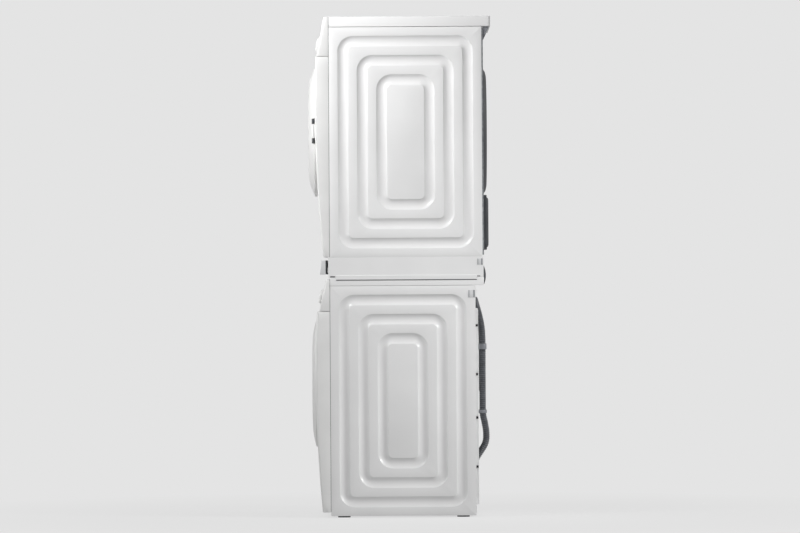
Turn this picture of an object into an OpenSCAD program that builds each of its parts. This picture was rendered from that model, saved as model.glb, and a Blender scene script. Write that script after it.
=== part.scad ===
// Washing machine and tumble dryer joined by a stacking kit with a pull-out shelf.
// Front is -Y, up is +Z. The origin is on the floor under the middle of the whole stack.

/* [Cabinets] */
// Width of both cabinets
cab_w = 600; // [560:5:700]
// Height of a side panel, from the base to the underside of the worktop
side_h = 805; // [800:5:840]
// Depth of the washer's side panels
washer_depth = 508; // [500:2:610]
// Depth of the dryer's side panels
dryer_depth = 535; // [520:2:640]
// How far each worktop reaches behind its side panels
top_over = 31; // [20:1:60]
// Thickness of the washer's worktop
washer_top_h = 30; // [22:1:40]
// Thickness of the dryer's worktop
dryer_top_h = 37; // [24:1:45]
// Thickness of the pressed steel sheets
sheet_t = 1.2; // [0.8:0.1:2]
// Wall of the moulded panels
wall_t = 2.5; // [2:0.1:4]

/* [Pressed channels of the side panels] */
// Number of channels, one inside the other
channels = 3; // [1:1:3]
// Distance from a panel's edge to the middle of the outer channel
channel_margin = 49; // [40:1:60]
// Distance from one channel's middle to the next
channel_pitch = 67.5; // [50:0.5:70]
// Width of a channel
channel_w = 37; // [20:1:40]
// Depth of a channel
channel_d = 8; // [4:0.5:9]
// Radius of a channel's middle line at the corners
channel_r = 35; // [25:1:45]

/* [Fronts] */
// Furthest that the dryer's front panel stands ahead of its side panels
dryer_bow = 50; // [45:0.5:56]
// The same for the washer
washer_bow = 51.5; // [47:0.5:56]
// Radius of the fronts' curve, seen from the side
bow_r = 5000; // [4000:100:9000]
// Height of the dryer's control panel
dryer_control_h = 138; // [130:1:145]
// Height of the washer's control panel
washer_control_h = 112; // [105:1:115]

/* [Doors] */
// Radius of the dryer's door
dryer_door_r = 227.5; // [215:0.5:235]
// How far the dryer's door reaches ahead of the side panels
dryer_door_reach = 75; // [70:1:90]
// Radius of the washer's door
washer_door_r = 222.5; // [212:0.5:230]
// How far the washer's door reaches ahead of the side panels
washer_door_reach = 66; // [64:1:80]
// Radius of the window in each door
window_r = 150; // [130:1:155]

/* [Drums] */
// Radius of the washer's drum
washer_drum_r = 241; // [225:1:245]
// Radius of the washer's tub
tub_r = 262; // [255:1:268]
// Radius of the dryer's drum
dryer_drum_r = 280; // [260:1:283]
// Radius of the pulley on the washer's drum
pulley_r = 150; // [130:1:160]

/* [Stacking kit] */
// Height of the kit between the two machines
kit_h = 71; // [65:1:90]
// Height of the shelf's front
shelf_front_h = 50; // [40:1:52]
// Height of the shelf's tray
shelf_h = 18; // [12:1:22]

/* [Feet, knobs and hose] */
// How far the feet hold a cabinet up
foot_h = 6; // [4:1:20]
// Radius of a foot's pad
foot_r = 22; // [15:1:25]
// Radius of the programme dials
dial_r = 26; // [20:1:30]
// Radius of the start buttons
button_r = 12; // [8:1:16]
// Radius of the drain hose
hose_r = 12.5; // [10:0.5:15]

/* [Hidden] */
$fn = 96;

// Places of the machines. Inside washer() and dryer(), y is 0 at the front edge of the
// side panels and z is 0 at the cabinet's lower edge.
half_w = cab_w / 2;
seam_y = (dryer_door_reach - dryer_depth - top_over) / 2;
washer_z = foot_h;
kit_z = washer_z + side_h + washer_top_h;
dryer_z = kit_z + kit_h;

// Clearances
gap = 0.3;       // between parts that move past each other
fit = 0.05;      // radial, of a shaft in its bore
slide_gap = 1;   // around a drawer
poke = 1;        // how far a cut runs past a face

// Heights above a cabinet's lower edge
dryer_axis_z = side_h - 361;
washer_axis_z = side_h - 348;
flange_w = 14;
rear_bulge = 10;
dryer_rear_t = 5;
base_lift = sheet_t + gap;
base_h = channel_margin - channel_w / 2 - sheet_t - base_lift - gap;

// Fronts: [low end, high end, furthest reach, height of the furthest reach]
dryer_control_top = side_h + dryer_top_h;
dryer_control_z = dryer_control_top - dryer_control_h;
washer_control_top = side_h + washer_top_h - 6;
washer_control_z = washer_control_top - washer_control_h;
dryer_front = [0, dryer_control_z - slide_gap, dryer_bow, side_h - 285];
washer_front = [13, washer_control_z - slide_gap, washer_bow, side_h - 325];

// Control panels: [low end, high end, reach at the low end, reach at the high end]
dryer_control = [dryer_control_z, dryer_control_top, dryer_bow - 7, dryer_bow - 32];
washer_control = [washer_control_z, washer_control_top, washer_bow - 13.5, washer_bow - 37.5];

// Doors: recess floors, backs and hinge axes, as distances ahead of the side panels
recess_gap = 3.5;
dryer_floor = dryer_bow - 12;
washer_floor = washer_bow - 9.5;
mouth_r = window_r + 15;
hinge_in = 6;
dryer_hinge = [dryer_door_r - hinge_in, -(dryer_door_reach - 18)];
washer_hinge = [washer_door_r - hinge_in, -(washer_door_reach - 12)];
knuckle_z = 34;
knuckle_h = 18;
knuckle_r = 4.5;
hinge_pin_r = 2.5;
leaf_x = 12;

// Drawers: [left edge, right edge, low edge, high edge] of their fronts
dryer_drawer = [-half_w + 15, -110, dryer_control_z + 8, side_h - 10];
washer_drawer = [-half_w + 15, -110, washer_control_z + 10, side_h - 10];

// Dials and buttons: [x, z]
dryer_dial_at = [0, dryer_control_z + 50];
washer_dial_at = [0, washer_control_z + 50];
dryer_button_at = [205, dryer_control_z + 50];
washer_button_at = [205, washer_control_z + 50];
dial_h = 14;
stem_r = 6;
stem_h = 16;
button_proud = 3;
button_h = 12;
button_flange = 1.5;

// Washer drive
tub_y = [25, 395];
drum_y = [38, 380];
shaft_r = 14;
hang_y = 280;
pulley_y = [408, 426];
washer_motor_at = [-80, 112];
washer_motor_r = 58;
motor_pulley_r = 12;
belt_t = 3;

// Dryer drive
dryer_drum_y = [70, 470];
dryer_shaft_r = 10;
dryer_motor_at = [120, 112];
dryer_motor_r = 50;
rotor_pulley_r = 10;
rotor_r = 6;
dryer_belt_y = [340, 350];
dryer_belt_t = 2.4;
fan_r = 58;

// Drain hose: [x, y, z] of its middle line, in the washer's frame
hose_gap = 1.2;
clip_t = 1;
hose_y = washer_depth + rear_bulge + clip_t + hose_gap + hose_r + gap;
recess_y = washer_depth - 20;
hose_x = half_w - 75;
hose_route = [[hose_x, hose_y - 40, 172], [hose_x, hose_y - 16, 210],
    [hose_x, hose_y + 8, 250], [hose_x, hose_y + 12, 285], [hose_x, hose_y + 7, 322],
    [hose_x, hose_y + 1, 350], [hose_x, hose_y, 370], [hose_x, hose_y, 410],
    [hose_x, hose_y, 520], [hose_x, hose_y, 610], [hose_x, hose_y - 3, 660],
    [hose_x - 4, hose_y - 12, 705], [hose_x - 22, hose_y - 22, 738],
    [hose_x - 60, hose_y - 26, 754], [hose_x - 98, hose_y - 22, 738],
    [hose_x - 116, hose_y - 12, 705], [hose_x - 120, hose_y - 3, 660],
    [hose_x - 120, hose_y, 610], [hose_x - 120, hose_y, 520], [hose_x - 120, hose_y, 430]];
hose_steps = 4;
hose_sides = 12;
hose_bands = [[590, 20], [362, 12]];
pocket_z = 635;  // low end of the pocket that the hose turns over in

// ---------- helpers ----------

module washer() {
    translate([0, seam_y, washer_z]) children();
}

module dryer() {
    translate([0, seam_y, dryer_z]) children();
}

module kit() {
    translate([0, seam_y, kit_z]) children();
}

// A box given by its low and high corners
module block(low, high) {
    translate(low) cube(high - low);
}

// A cylinder along Y between two places
module rod_y(y0, y1, r) {
    translate([0, y0, 0]) rotate([-90, 0, 0]) cylinder(h = y1 - y0, r = r);
}

// A turned shape whose outline is given as [radius, y]
module turned(points) {
    rotate([-90, 0, 0]) rotate_extrude() polygon(points);
}

// A 2D outline, drawn as [y, z], given a thickness along X
module sheet_x(x0, t) {
    translate([x0, 0, 0]) rotate([90, 0, 90]) linear_extrude(t) children();
}

module both_sides() {
    children();
    mirror([1, 0, 0]) children();
}

module round_rect(w, h, r) {
    square([w - 2 * r, h], center = true);
    square([w, h - 2 * r], center = true);
    for (x = [-1, 1], y = [-1, 1])
        translate([x * (w / 2 - r), y * (h / 2 - r)]) circle(r);
}

// How far a bowed front stands ahead of the side panels at height z
function bow(z, f) = f[2] - pow(z - f[3], 2) / (2 * bow_r);

// Side view of a bowed front, set back and trimmed by t
function bow_outline(f, t) = let (steps = 16, low = f[0] + t, high = f[1] - t)
    concat([[t > 0 ? poke : 0, low]],
        [for (i = [0:steps]) let (z = low + (high - low) * i / steps) [t - bow(z, f), z]],
        [[t > 0 ? poke : 0, high]]);

// Side view of a slanted control panel, set back and trimmed by t
function slant_outline(c, t) = [[t > 0 ? poke : 0, c[0] + t], [t - c[2], c[0] + t],
    [t - c[3], c[1] - t], [t > 0 ? poke : 0, c[1] - t]];

function slant(c) = atan((c[2] - c[3]) / (c[1] - c[0]));
function slant_reach(c, z) = c[3] + (c[2] - c[3]) * (c[1] - z) / (c[1] - c[0]);

// Puts +Z along the outward normal of a control panel, at [x, z] on its face
module on_slant(c, at) {
    translate([at[0], -slant_reach(c, at[1]), at[1]]) rotate([90 - slant(c), 0, 0]) children();
}

// Points of a belt's loop around two pulleys, as [x, z] from the first one's centre
function belt_loop(r1, c, r2) = let (d = norm(c), a = atan2(c[1], c[0]),
        b = acos((r1 - r2) / d), steps = 72)
    concat([for (i = [0:steps]) let (t = a + b + (360 - 2 * b) * i / steps)
            r1 * [cos(t), sin(t)]],
        [for (i = [0:steps / 6]) let (t = a - b + 2 * b * i / (steps / 6))
            c + r2 * [cos(t), sin(t)]]);

// ---------- sheet-metal cabinet ----------

// Outline of one channel, widened by grow on each side
module channel_2d(depth, k, grow) {
    inset = channel_margin + k * channel_pitch;
    w = depth - 2 * inset;
    h = side_h - 2 * inset;
    out = channel_w / 2 + grow;
    translate([depth / 2, side_h / 2]) difference() {
        round_rect(w + 2 * out, h + 2 * out, channel_r + out);
        round_rect(w - 2 * out, h - 2 * out, channel_r - out);
    }
}

module side_panel(depth) {
    color("white") difference() {
        union() {
            sheet_x(half_w - sheet_t, sheet_t) square([depth, side_h]);
            for (k = [0:channels - 1])
                sheet_x(half_w - channel_d - sheet_t, channel_d + sheet_t)
                    channel_2d(depth, k, sheet_t);
            for (y = [0, depth - sheet_t])
                block([half_w - flange_w, y, 0], [half_w, y + sheet_t, side_h]);
            for (z = [0, side_h - sheet_t])
                block([half_w - flange_w, 0, z], [half_w, depth, z + sheet_t]);
        }
        for (k = [0:channels - 1])
            sheet_x(half_w - channel_d, channel_d + poke) channel_2d(depth, k, 0);
    }
}

module washer_side_right() { washer() side_panel(washer_depth); }
module washer_side_left() { washer() mirror([1, 0, 0]) side_panel(washer_depth); }
module dryer_side_right() { dryer() side_panel(dryer_depth); }
module dryer_side_left() { dryer() mirror([1, 0, 0]) side_panel(dryer_depth); }

// Open tray that stiffens the foot of a cabinet
module base_tray(depth) {
    x = half_w - sheet_t - gap;
    y = sheet_t + gap;
    floor_t = 3;
    color("dimgray") difference() {
        block([-x, y, base_lift], [x, depth - y, base_lift + base_h]);
        block([-x + floor_t, y + floor_t, base_lift + floor_t],
            [x - floor_t, depth - y - floor_t, base_lift + base_h + poke]);
    }
}

module washer_base() { washer() base_tray(washer_depth); }
module dryer_base() { dryer() base_tray(dryer_depth); }

module foot() {
    translate([0, 0, -foot_h]) cylinder(h = foot_h - poke, r = foot_r);
    translate([0, 0, -poke]) cylinder(h = base_lift + poke, r = foot_r / 2);
}

module feet() {
    color("dimgray") both_sides() {
        for (y = [45, washer_depth - 45]) washer() translate([half_w - 50, y, 0]) foot();
        for (y = [45, dryer_depth - 45]) dryer() translate([half_w - 50, y, 0]) foot();
    }
}

module washer_worktop() {
    color("whitesmoke") washer()
        block([-half_w, 0, side_h], [half_w, washer_depth + top_over, side_h + washer_top_h]);
}

module dryer_worktop() {
    r = 8;
    x = half_w;
    y = dryer_depth + top_over;
    color("whitesmoke") dryer() translate([0, 0, side_h]) {
        block([-x, 0, 0], [x, y - r, dryer_top_h]);
        block([-x + r, y - r - poke, 0], [x - r, y, dryer_top_h]);
        for (side = [-1, 1]) translate([side * (x - r), y - r, 0])
            cylinder(h = dryer_top_h, r = r);
    }
}

// Gussets under the rear overhang of the dryer's worktop
module worktop_brackets() {
    drop = 37;
    t = 3;
    y = dryer_depth + dryer_rear_t;
    color("dimgray") dryer() both_sides() sheet_x(half_w - 12, t)
        polygon([[y, side_h], [y + top_over - 10, side_h], [y + t, side_h - drop],
            [y, side_h - drop]]);
}

// Rear sheet with a raised middle, a recess for the hose and the valve, and a hose slot
module washer_rear_panel() {
    x = half_w - 4;
    y = washer_depth;
    top = side_h - 20;
    mid = [half_w - 14, 38, side_h - 85];
    recesses = [[[-half_w + 50, recess_y, side_h - 80], [half_w - 30, 0, top]],
        [[hose_x - 155, recess_y, pocket_z], [hose_x + 35, 0, top]]];
    color("gainsboro") washer() difference() {
        union() {
            difference() {
                union() {
                    block([-x, y, 8], [x, y + sheet_t, side_h - 8]);
                    block([-mid[0], y, mid[1]], [mid[0], y + rear_bulge, mid[2]]);
                }
                block([-mid[0] + sheet_t, y - poke, mid[1] + sheet_t],
                    [mid[0] - sheet_t, y + rear_bulge - sheet_t, mid[2] - sheet_t]);
            }
            for (r = recesses) block(r[0] - sheet_t * [1, 1, 1],
                [r[1][0] + sheet_t, r[0][2] < mid[2] - sheet_t - poke ? y + rear_bulge - poke
                    : y + sheet_t, r[1][2] + sheet_t]);
        }
        for (r = recesses) block(r[0], [r[1][0], y + rear_bulge + poke, r[1][2]]);
        block([hose_x - 22, y - poke, 150], [hose_x + 22, y + rear_bulge + poke, 262]);
        translate([-hose_x, 0, valve_z]) rod_y(recess_y - 2 * poke, recess_y + poke, 18);
    }
}

module dryer_rear_panel() {
    x = half_w - 4;
    y = dryer_depth;
    boss_r = 26;
    color("darkgray") dryer() difference() {
        union() {
            block([-x, y, 6], [x, y + sheet_t, side_h - 6]);
            for (s = [-1, 1]) block([s * x - (s > 0 ? sheet_t : 0), y, 6],
                [s * x + (s > 0 ? 0 : sheet_t), y + dryer_rear_t, side_h - 6]);
            translate([0, 0, dryer_axis_z]) rod_y(y - 22, y + sheet_t, boss_r);
        }
        translate([0, 0, dryer_axis_z]) rod_y(y - 22 - poke, y + sheet_t + poke,
            dryer_shaft_r + fit);
    }
}

// Round duct behind the drum, with stiffening steps
module dryer_air_duct() {
    y = dryer_depth + sheet_t;
    top = dryer_depth + 19;
    r = 224;
    w = 3;
    color("dimgray") dryer() translate([0, 0, dryer_axis_z]) turned([[0, y + w], [30, y + w],
        [30, top - w], [r - 24, top - w], [r - w, y + 6], [r - w, y], [r, y], [r, y + 6],
        [r - 22, top], [0, top]]);
}

// Cover of the fan's housing, under the round duct
module dryer_fan_cover() {
    y = dryer_depth + sheet_t;
    top = dryer_depth + 23;
    w = 3;
    low = 24;
    high = dryer_axis_z - 227;
    x = 190;
    r = 30;
    color("dimgray") dryer() difference() {
        translate([0, y, (low + high) / 2]) rotate([-90, 0, 0]) linear_extrude(top - y)
            round_rect(2 * x, high - low, r);
        translate([0, y - poke, (low + high) / 2]) rotate([-90, 0, 0])
            linear_extrude(top - y - w + poke) round_rect(2 * (x - w), high - low - 2 * w, r - w);
    }
}

// ---------- fronts ----------

// Moulded front with a round recess for the door and the mouth of the drum
module front_panel(f, axis_z, door_r, floor_y) {
    color("white") difference() {
        union() {
            difference() {
                sheet_x(-half_w, cab_w) polygon(bow_outline(f, 0));
                sheet_x(-half_w + wall_t, cab_w - 2 * wall_t) polygon(bow_outline(f, wall_t));
            }
            intersection() {
                sheet_x(-half_w, cab_w) polygon(bow_outline(f, 0));
                translate([0, 0, axis_z])
                    rod_y(-f[2] - poke, -floor_y + wall_t, door_r + recess_gap + wall_t);
            }
        }
        translate([0, 0, axis_z]) rod_y(-f[2] - poke, -floor_y, door_r + recess_gap);
        translate([0, 0, axis_z]) rod_y(-f[2] - poke, poke, mouth_r);
    }
}

// Place of the small flap over the pump's filter, at the washer's lower right
flap = [140, 250, 42, 132];

module washer_front_panel() {
    washer() difference() {
        front_panel(washer_front, washer_axis_z, washer_door_r, washer_floor);
        block([flap[0], -washer_bow - poke, flap[2]], [flap[1], poke, flap[3]]);
    }
}

module dryer_front_panel() {
    dryer() front_panel(dryer_front, dryer_axis_z, dryer_door_r, dryer_floor);
}

// Slanted panel with a window for a drawer and holes for the dial and the button
module control_panel(c, drawer, dial_at, button_at) {
    color("white") difference() {
        sheet_x(-half_w, cab_w) polygon(slant_outline(c, 0));
        sheet_x(-half_w + wall_t, cab_w - 2 * wall_t) polygon(slant_outline(c, wall_t));
        block([drawer[0], -c[2] - poke, drawer[2]], [drawer[1], poke, drawer[3]]);
        on_slant(c, dial_at) translate([0, 0, -stem_h])
            cylinder(h = 2 * stem_h, r = stem_r + fit);
        on_slant(c, button_at) translate([0, 0, -stem_h])
            cylinder(h = 2 * stem_h, r = button_r + gap);
    }
}

module washer_control_panel() {
    washer() control_panel(washer_control, washer_drawer, washer_dial_at, washer_button_at);
}

module dryer_control_panel() {
    dryer() control_panel(dryer_control, dryer_drawer, dryer_dial_at, dryer_button_at);
}

// Dial with a finger bar across its face
module dial() {
    bar = 5;
    translate([0, 0, -stem_h]) cylinder(h = stem_h + 2 * gap, r = stem_r);
    translate([0, 0, 2 * gap]) cylinder(h = dial_h - 4, r = dial_r);
    block([-bar, -dial_r + 4, 2 * gap], [bar, dial_r - 4, dial_h]);
}

module washer_dial() { color("silver") washer() on_slant(washer_control, washer_dial_at) dial(); }
module dryer_dial() { color("silver") dryer() on_slant(dryer_control, dryer_dial_at) dial(); }

// Round key, held behind the panel by a flange that leaves it room to travel
module start_button() {
    translate([0, 0, button_proud - button_h]) cylinder(h = button_h, r = button_r);
    translate([0, 0, button_proud - button_h]) cylinder(h = button_flange, r = button_r + 2);
}

module washer_start_button() {
    color("lightgray") washer() on_slant(washer_control, washer_button_at) start_button();
}

module dryer_start_button() {
    color("lightgray") dryer() on_slant(dryer_control, dryer_button_at) start_button();
}

// Front of a drawer: the part of the slanted panel that fills its window
module drawer_front(c, d) {
    intersection() {
        difference() {
            sheet_x(-half_w, cab_w) polygon(slant_outline(c, 0));
            translate([0, 4, 0]) sheet_x(-half_w, cab_w) polygon(slant_outline(c, 0));
        }
        block([d[0] + slide_gap, -c[2] - poke, d[2] + slide_gap],
            [d[1] - slide_gap, poke - c[3], d[3] - slide_gap]);
    }
}

// Tray with three compartments for detergent and softener
module detergent_drawer() {
    d = washer_drawer;
    w = 2.5;
    x = [d[0] + 8, d[1] - 8];
    z = [d[2] + 6, d[3] - 14];
    end = 225;
    start = -slant_reach(washer_control, d[2]) + 5;
    third = (x[1] - x[0] - w) / 3;
    color("whitesmoke") washer() {
        drawer_front(washer_control, d);
        difference() {
            block([x[0], start - 3, z[0]], [x[1], end, z[1]]);
            for (i = [0:2]) block([x[0] + w + i * third, 0, z[0] + w],
                [x[0] + (i + 1) * third, end - w, z[1] + poke]);
        }
    }
}

// Housing that the detergent drawer slides in
module dispenser_housing() {
    d = washer_drawer;
    w = 2.5;
    x = [d[0] + 4, d[1] - 4];
    z = [d[2] + 2, side_h - 4];
    color("gainsboro") washer() difference() {
        block([x[0], 3, z[0]], [x[1], 250, z[1]]);
        block([x[0] + w, 3 - poke, z[0] + w], [x[1] - w, 250 - w, z[1] - w]);
    }
}

// Tank that collects the condensed water, drawn out like a drawer
module water_tank() {
    d = dryer_drawer;
    w = 3;
    x = [d[0] + 4, d[1] - 4];
    z = [d[2] + 3, d[3] - 6];
    start = -slant_reach(dryer_control, d[2]) + 3;
    end = 430;
    color("lightgray") dryer() {
        drawer_front(dryer_control, d);
        difference() {
            block([x[0], start, z[0]], [x[1], end, z[1]]);
            block([x[0] + w, start + w + 20, z[0] + w], [x[1] - w, end - w, z[1] - w]);
            translate([(x[0] + x[1]) / 2, end - 40, z[1] - w - poke])
                cylinder(h = w + 2 * poke, r = 15);
        }
    }
}

// ---------- doors ----------

// Half outline of a door ring as [radius, y]; its face falls away from the window as a dome
function door_ring(r, back, front) = let (step_y = -front * 0.27 - back * 0.73,
        step = 3, steps = 8, inner = window_r + 8, sag = 0.65 * (front - back))
    concat([[window_r + 18, -back], [r - step, -back], [r - step, step_y], [r, step_y]],
        [for (i = [steps:-1:0]) let (u = i / steps)
            [inner + (r - inner) * u, -front + sag * pow(u, 1.6)]],
        [[window_r, -front + 8], [window_r, -front + 14], [window_r + 18, -front + 14]]);

// Ring of a door, cut away round its hinge
module door_frame(r, back, front, hinge) {
    color("whitesmoke") difference() {
        turned(door_ring(r, back, front));
        block([hinge[0] - leaf_x, hinge[1] - 9, -knuckle_z - 11],
            [r + poke, -back + poke, knuckle_z + 11]);
    }
}

// Bowl-shaped glass with a flat flange
module door_glass(front, deep) {
    t = 4;
    y0 = -front + 14;
    r1 = window_r - 6;
    r2 = window_r - 26;
    color([0.2, 0.22, 0.25, 0.6]) turned([[0, deep - t], [r2 - 14, deep - t],
        [r2 - t, deep - 18], [r1 - t, y0 + t], [r1 - t, y0], [window_r + 17, y0],
        [window_r + 17, y0 + t], [r1, y0 + t], [r2, deep - 14], [r2 - 12, deep], [0, deep]]);
}

// Leaf with two knuckles, fixed to the door
module door_hinge(hinge) {
    color("dimgray") translate([hinge[0], hinge[1], 0]) difference() {
        union() {
            block([-leaf_x, -3, -knuckle_z - 10], [-leaf_x + 4, 8, knuckle_z + 10]);
            for (s = [-1, 1]) translate([0, 0, s * knuckle_z - knuckle_h / 2]) {
                cylinder(h = knuckle_h, r = knuckle_r);
                block([-leaf_x + 2, -3, 0], [0, 3, knuckle_h]);
            }
        }
        translate([0, 0, -2 * knuckle_z]) cylinder(h = 4 * knuckle_z, r = hinge_pin_r + fit);
    }
}

// Barrel, pin and foot that carry a door, fixed to the floor of the recess
module hinge_bracket(hinge, floor_y) {
    z = knuckle_z - knuckle_h / 2 - gap;
    translate([hinge[0], hinge[1], 0]) {
        translate([0, 0, -z]) cylinder(h = 2 * z, r = knuckle_r);
        translate([0, 0, -knuckle_z - 10]) cylinder(h = 2 * (knuckle_z + 10), r = hinge_pin_r);
        block([-3, 0, -z], [3, -floor_y - hinge[1], z]);
    }
}

// The dryer's door hangs on the right, the washer's on the left
module at_dryer_door() { dryer() translate([0, 0, dryer_axis_z]) children(); }
module at_washer_door() { washer() translate([0, 0, washer_axis_z]) mirror([1, 0, 0]) children(); }

module dryer_door_frame() {
    at_dryer_door() door_frame(dryer_door_r, dryer_floor + gap, dryer_door_reach, dryer_hinge);
}

module washer_door_frame() {
    at_washer_door()
        door_frame(washer_door_r, washer_floor + gap, washer_door_reach, washer_hinge);
}

module dryer_door_glass() { at_dryer_door() door_glass(dryer_door_reach, 36); }
module washer_door_glass() { at_washer_door() door_glass(washer_door_reach, 46); }
module dryer_door_hinge() { at_dryer_door() door_hinge(dryer_hinge); }
module washer_door_hinge() { at_washer_door() door_hinge(washer_hinge); }

module hinge_brackets() {
    color("whitesmoke") {
        at_dryer_door() hinge_bracket(dryer_hinge, dryer_floor);
        at_washer_door() hinge_bracket(washer_hinge, washer_floor);
    }
}

// ---------- inside the washer ----------

module at_washer_axis() { washer() translate([0, 0, washer_axis_z]) children(); }

// Rubber bellows between the front panel and the tub
module washer_gasket() {
    r = mouth_r + 2;
    t = 4;
    y0 = -washer_floor + wall_t;
    y1 = tub_y[0];
    color("gray") at_washer_axis() turned([[r, y0], [r + 14, y0], [r + 14, y0 + t],
        [r + t, y0 + t], [r + t, y0 + 16], [r + 10, y0 + 22], [r + 10, y0 + 30],
        [r + t, y0 + 36], [r + t, y1], [r, y1], [r, y0 + 34], [r + 6, y0 + 29],
        [r + 6, y0 + 23], [r, y0 + 18]]);
}

// Tub: a drum-shaped shell with a mouth, a rear hub, and ears for springs and dampers
module washer_tub() {
    t = 3;
    hub_r = 34;
    y0 = tub_y[0];
    y1 = tub_y[1];
    color("lightgray") at_washer_axis() difference() {
        union() {
            turned([[mouth_r - 5, y0], [tub_r, y0], [tub_r, y1], [hub_r, y1], [hub_r, y1 + 8],
                [shaft_r + fit, y1 + 8], [shaft_r + fit, y1 - 8], [hub_r, y1 - 8],
                [hub_r + 6, y1 - t], [tub_r - t, y1 - t], [tub_r - t, y0 + t],
                [mouth_r - 5, y0 + t]]);
            both_sides() {
                ear(tub_r, 40, -1);
                ear(tub_r, 52, 1);
            }
        }
        rod_y(y0 + t, y1 - 8 - t, tub_r - t);
    }
}

// Lug on the tub's wall, at an angle from straight down or straight up
module ear(r, angle, side) {
    w = 18;
    rotate([0, side > 0 ? angle : 180 - angle, 0])
        block([-w / 2, hang_y - w, r - 2.5], [w / 2, hang_y + w, r + 14]);
}

module washer_drum() {
    r = washer_drum_r;
    t = 1.5;
    lip = mouth_r + 12;
    y0 = drum_y[0];
    y1 = drum_y[1];
    color("silver") at_washer_axis() turned([[lip, y0], [r, y0], [r, y1], [shaft_r, y1],
        [shaft_r, pulley_y[1] + 6], [0, pulley_y[1] + 6], [0, y1 - t], [r - t, y1 - t],
        [r - t, y0 + t], [lip, y0 + t]]);
}

// Three paddles that lift the laundry
module lifters(r, y0, y1, h, w) {
    for (i = [0:2]) rotate([0, 120 * i + 60, 0]) intersection() {
        rod_y(y0, y1, r);
        sheet_y(y0, y1) polygon([[-w / 2, r + poke], [-w / 4, r - h], [w / 4, r - h],
            [w / 2, r + poke]]);
    }
}

// A 2D outline, drawn as [x, z], given a length along Y
module sheet_y(y0, y1) {
    translate([0, y1, 0]) rotate([90, 0, 0]) linear_extrude(y1 - y0) children();
}

module washer_lifters() {
    color("whitesmoke") at_washer_axis()
        lifters(washer_drum_r - 1.5, drum_y[0] + 20, drum_y[1] - 20, 42, 60);
}

module washer_drum_pulley() {
    y = pulley_y;
    rim = 8;
    hub_r = 26;
    web = 5;
    mid = (y[0] + y[1]) / 2;
    color("silver") at_washer_axis() difference() {
        turned([[shaft_r + fit, y[0]], [hub_r, y[0]], [hub_r, mid - web / 2],
            [pulley_r - rim, mid - web / 2], [pulley_r - rim, y[0]], [pulley_r, y[0]],
            [pulley_r, y[1]], [pulley_r - rim, y[1]], [pulley_r - rim, mid + web / 2],
            [hub_r, mid + web / 2], [hub_r, y[1]], [shaft_r + fit, y[1]]]);
        for (i = [0:5]) rotate([0, 60 * i, 0]) translate([0, 0, (hub_r + pulley_r) / 2])
            rod_y(y[0], y[1], 28);
    }
}

// Vector from the drum's axis to the motor's shaft, as [x, z]
washer_drive = washer_motor_at - [0, washer_axis_z];

module washer_belt() {
    color("dimgray") at_washer_axis() sheet_y(pulley_y[0] + 2, pulley_y[1] - 2) difference() {
        polygon(belt_loop(pulley_r + gap + belt_t, washer_drive,
            motor_pulley_r + gap + belt_t));
        polygon(belt_loop(pulley_r + 2 * gap, washer_drive, motor_pulley_r + 2 * gap));
    }
}

module at_washer_motor() {
    washer() translate([washer_motor_at[0], 0, washer_motor_at[1]]) children();
}

module washer_motor() {
    r = washer_motor_r;
    color("gray") at_washer_motor() difference() {
        union() {
            rod_y(240, 380, r);
            rod_y(380, 392, r / 2);
            block([-20, 260, -washer_motor_at[1] + base_lift + 3], [20, 290, -r + 4]);
        }
        rod_y(330, 392 + poke, 7 + fit);
    }
}

module washer_motor_pulley() {
    color("silver") at_washer_motor() {
        rod_y(335, pulley_y[1] + 4, 7);
        rod_y(pulley_y[0], pulley_y[1], motor_pulley_r);
    }
}

// Concrete ring on the tub's front and block on its top
module counterweights() {
    color("darkgray") {
        at_washer_axis() turned([[mouth_r + 20, -6], [tub_r - 14, -6],
            [tub_r - 14, tub_y[0]], [mouth_r + 20, tub_y[0]]]);
        washer() difference() {
            block([-20, 170, washer_axis_z + tub_r - 40], [150, 340, side_h - 20]);
            translate([0, 0, washer_axis_z]) rod_y(100, 400, tub_r + gap);
        }
    }
}

// A round bar between two points
module bar(p, q, r) {
    d = q - p;
    translate(p) rotate([0, acos(d[2] / norm(d)), atan2(d[1], d[0])])
        cylinder(h = norm(d), r = r);
}

module tub_springs() {
    y = hang_y;
    color("silver") washer() both_sides()
        bar([232, y, washer_axis_z + 178], [half_w - 26, y, side_h - 8], 9);
}

module tub_dampers() {
    y = hang_y;
    foot_z = base_lift + 4;
    color("dimgray") washer() both_sides() {
        bar([198, y, foot_z + 6], [184, y, washer_axis_z - 222], 12);
        block([180, y - 14, base_lift + 3], [216, y + 14, foot_z + 2]);
    }
}

// Pump body behind the filter
pump_at = [(flap[0] + flap[1]) / 2, (flap[2] + flap[3]) / 2];

module drain_pump() {
    color("dimgray") washer() translate([pump_at[0], 0, pump_at[1]]) difference() {
        union() {
            rod_y(20, 120, 36);
            rod_y(120, 170, 26);
            block([-30, 40, -pump_at[1] + base_lift + 3], [30, 110, -20]);
            translate([0, 85, 20]) cylinder(h = 50, r = 11);
        }
        rod_y(20 - poke, 100, 30 + gap);
    }
}

module pump_filter() {
    color("dimgray") washer() translate([pump_at[0], 0, pump_at[1]]) {
        rod_y(14, 90, 30);
        rod_y(2, 14, 34);
        block([-28, -10, -4], [28, 4, 4]);
    }
}

// Flap over the filter, following the curve of the front
module pump_flap() {
    w = 2.5;
    f = washer_front;
    color("white") washer() intersection() {
        difference() {
            sheet_x(-half_w, cab_w) polygon(bow_outline(f, 0));
            translate([0, w, 0]) sheet_x(-half_w, cab_w) polygon(bow_outline(f, 0));
        }
        block([flap[0] + slide_gap, -washer_bow - poke, flap[2] + slide_gap],
            [flap[1] - slide_gap, -12, flap[3] - slide_gap]);
    }
}

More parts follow.
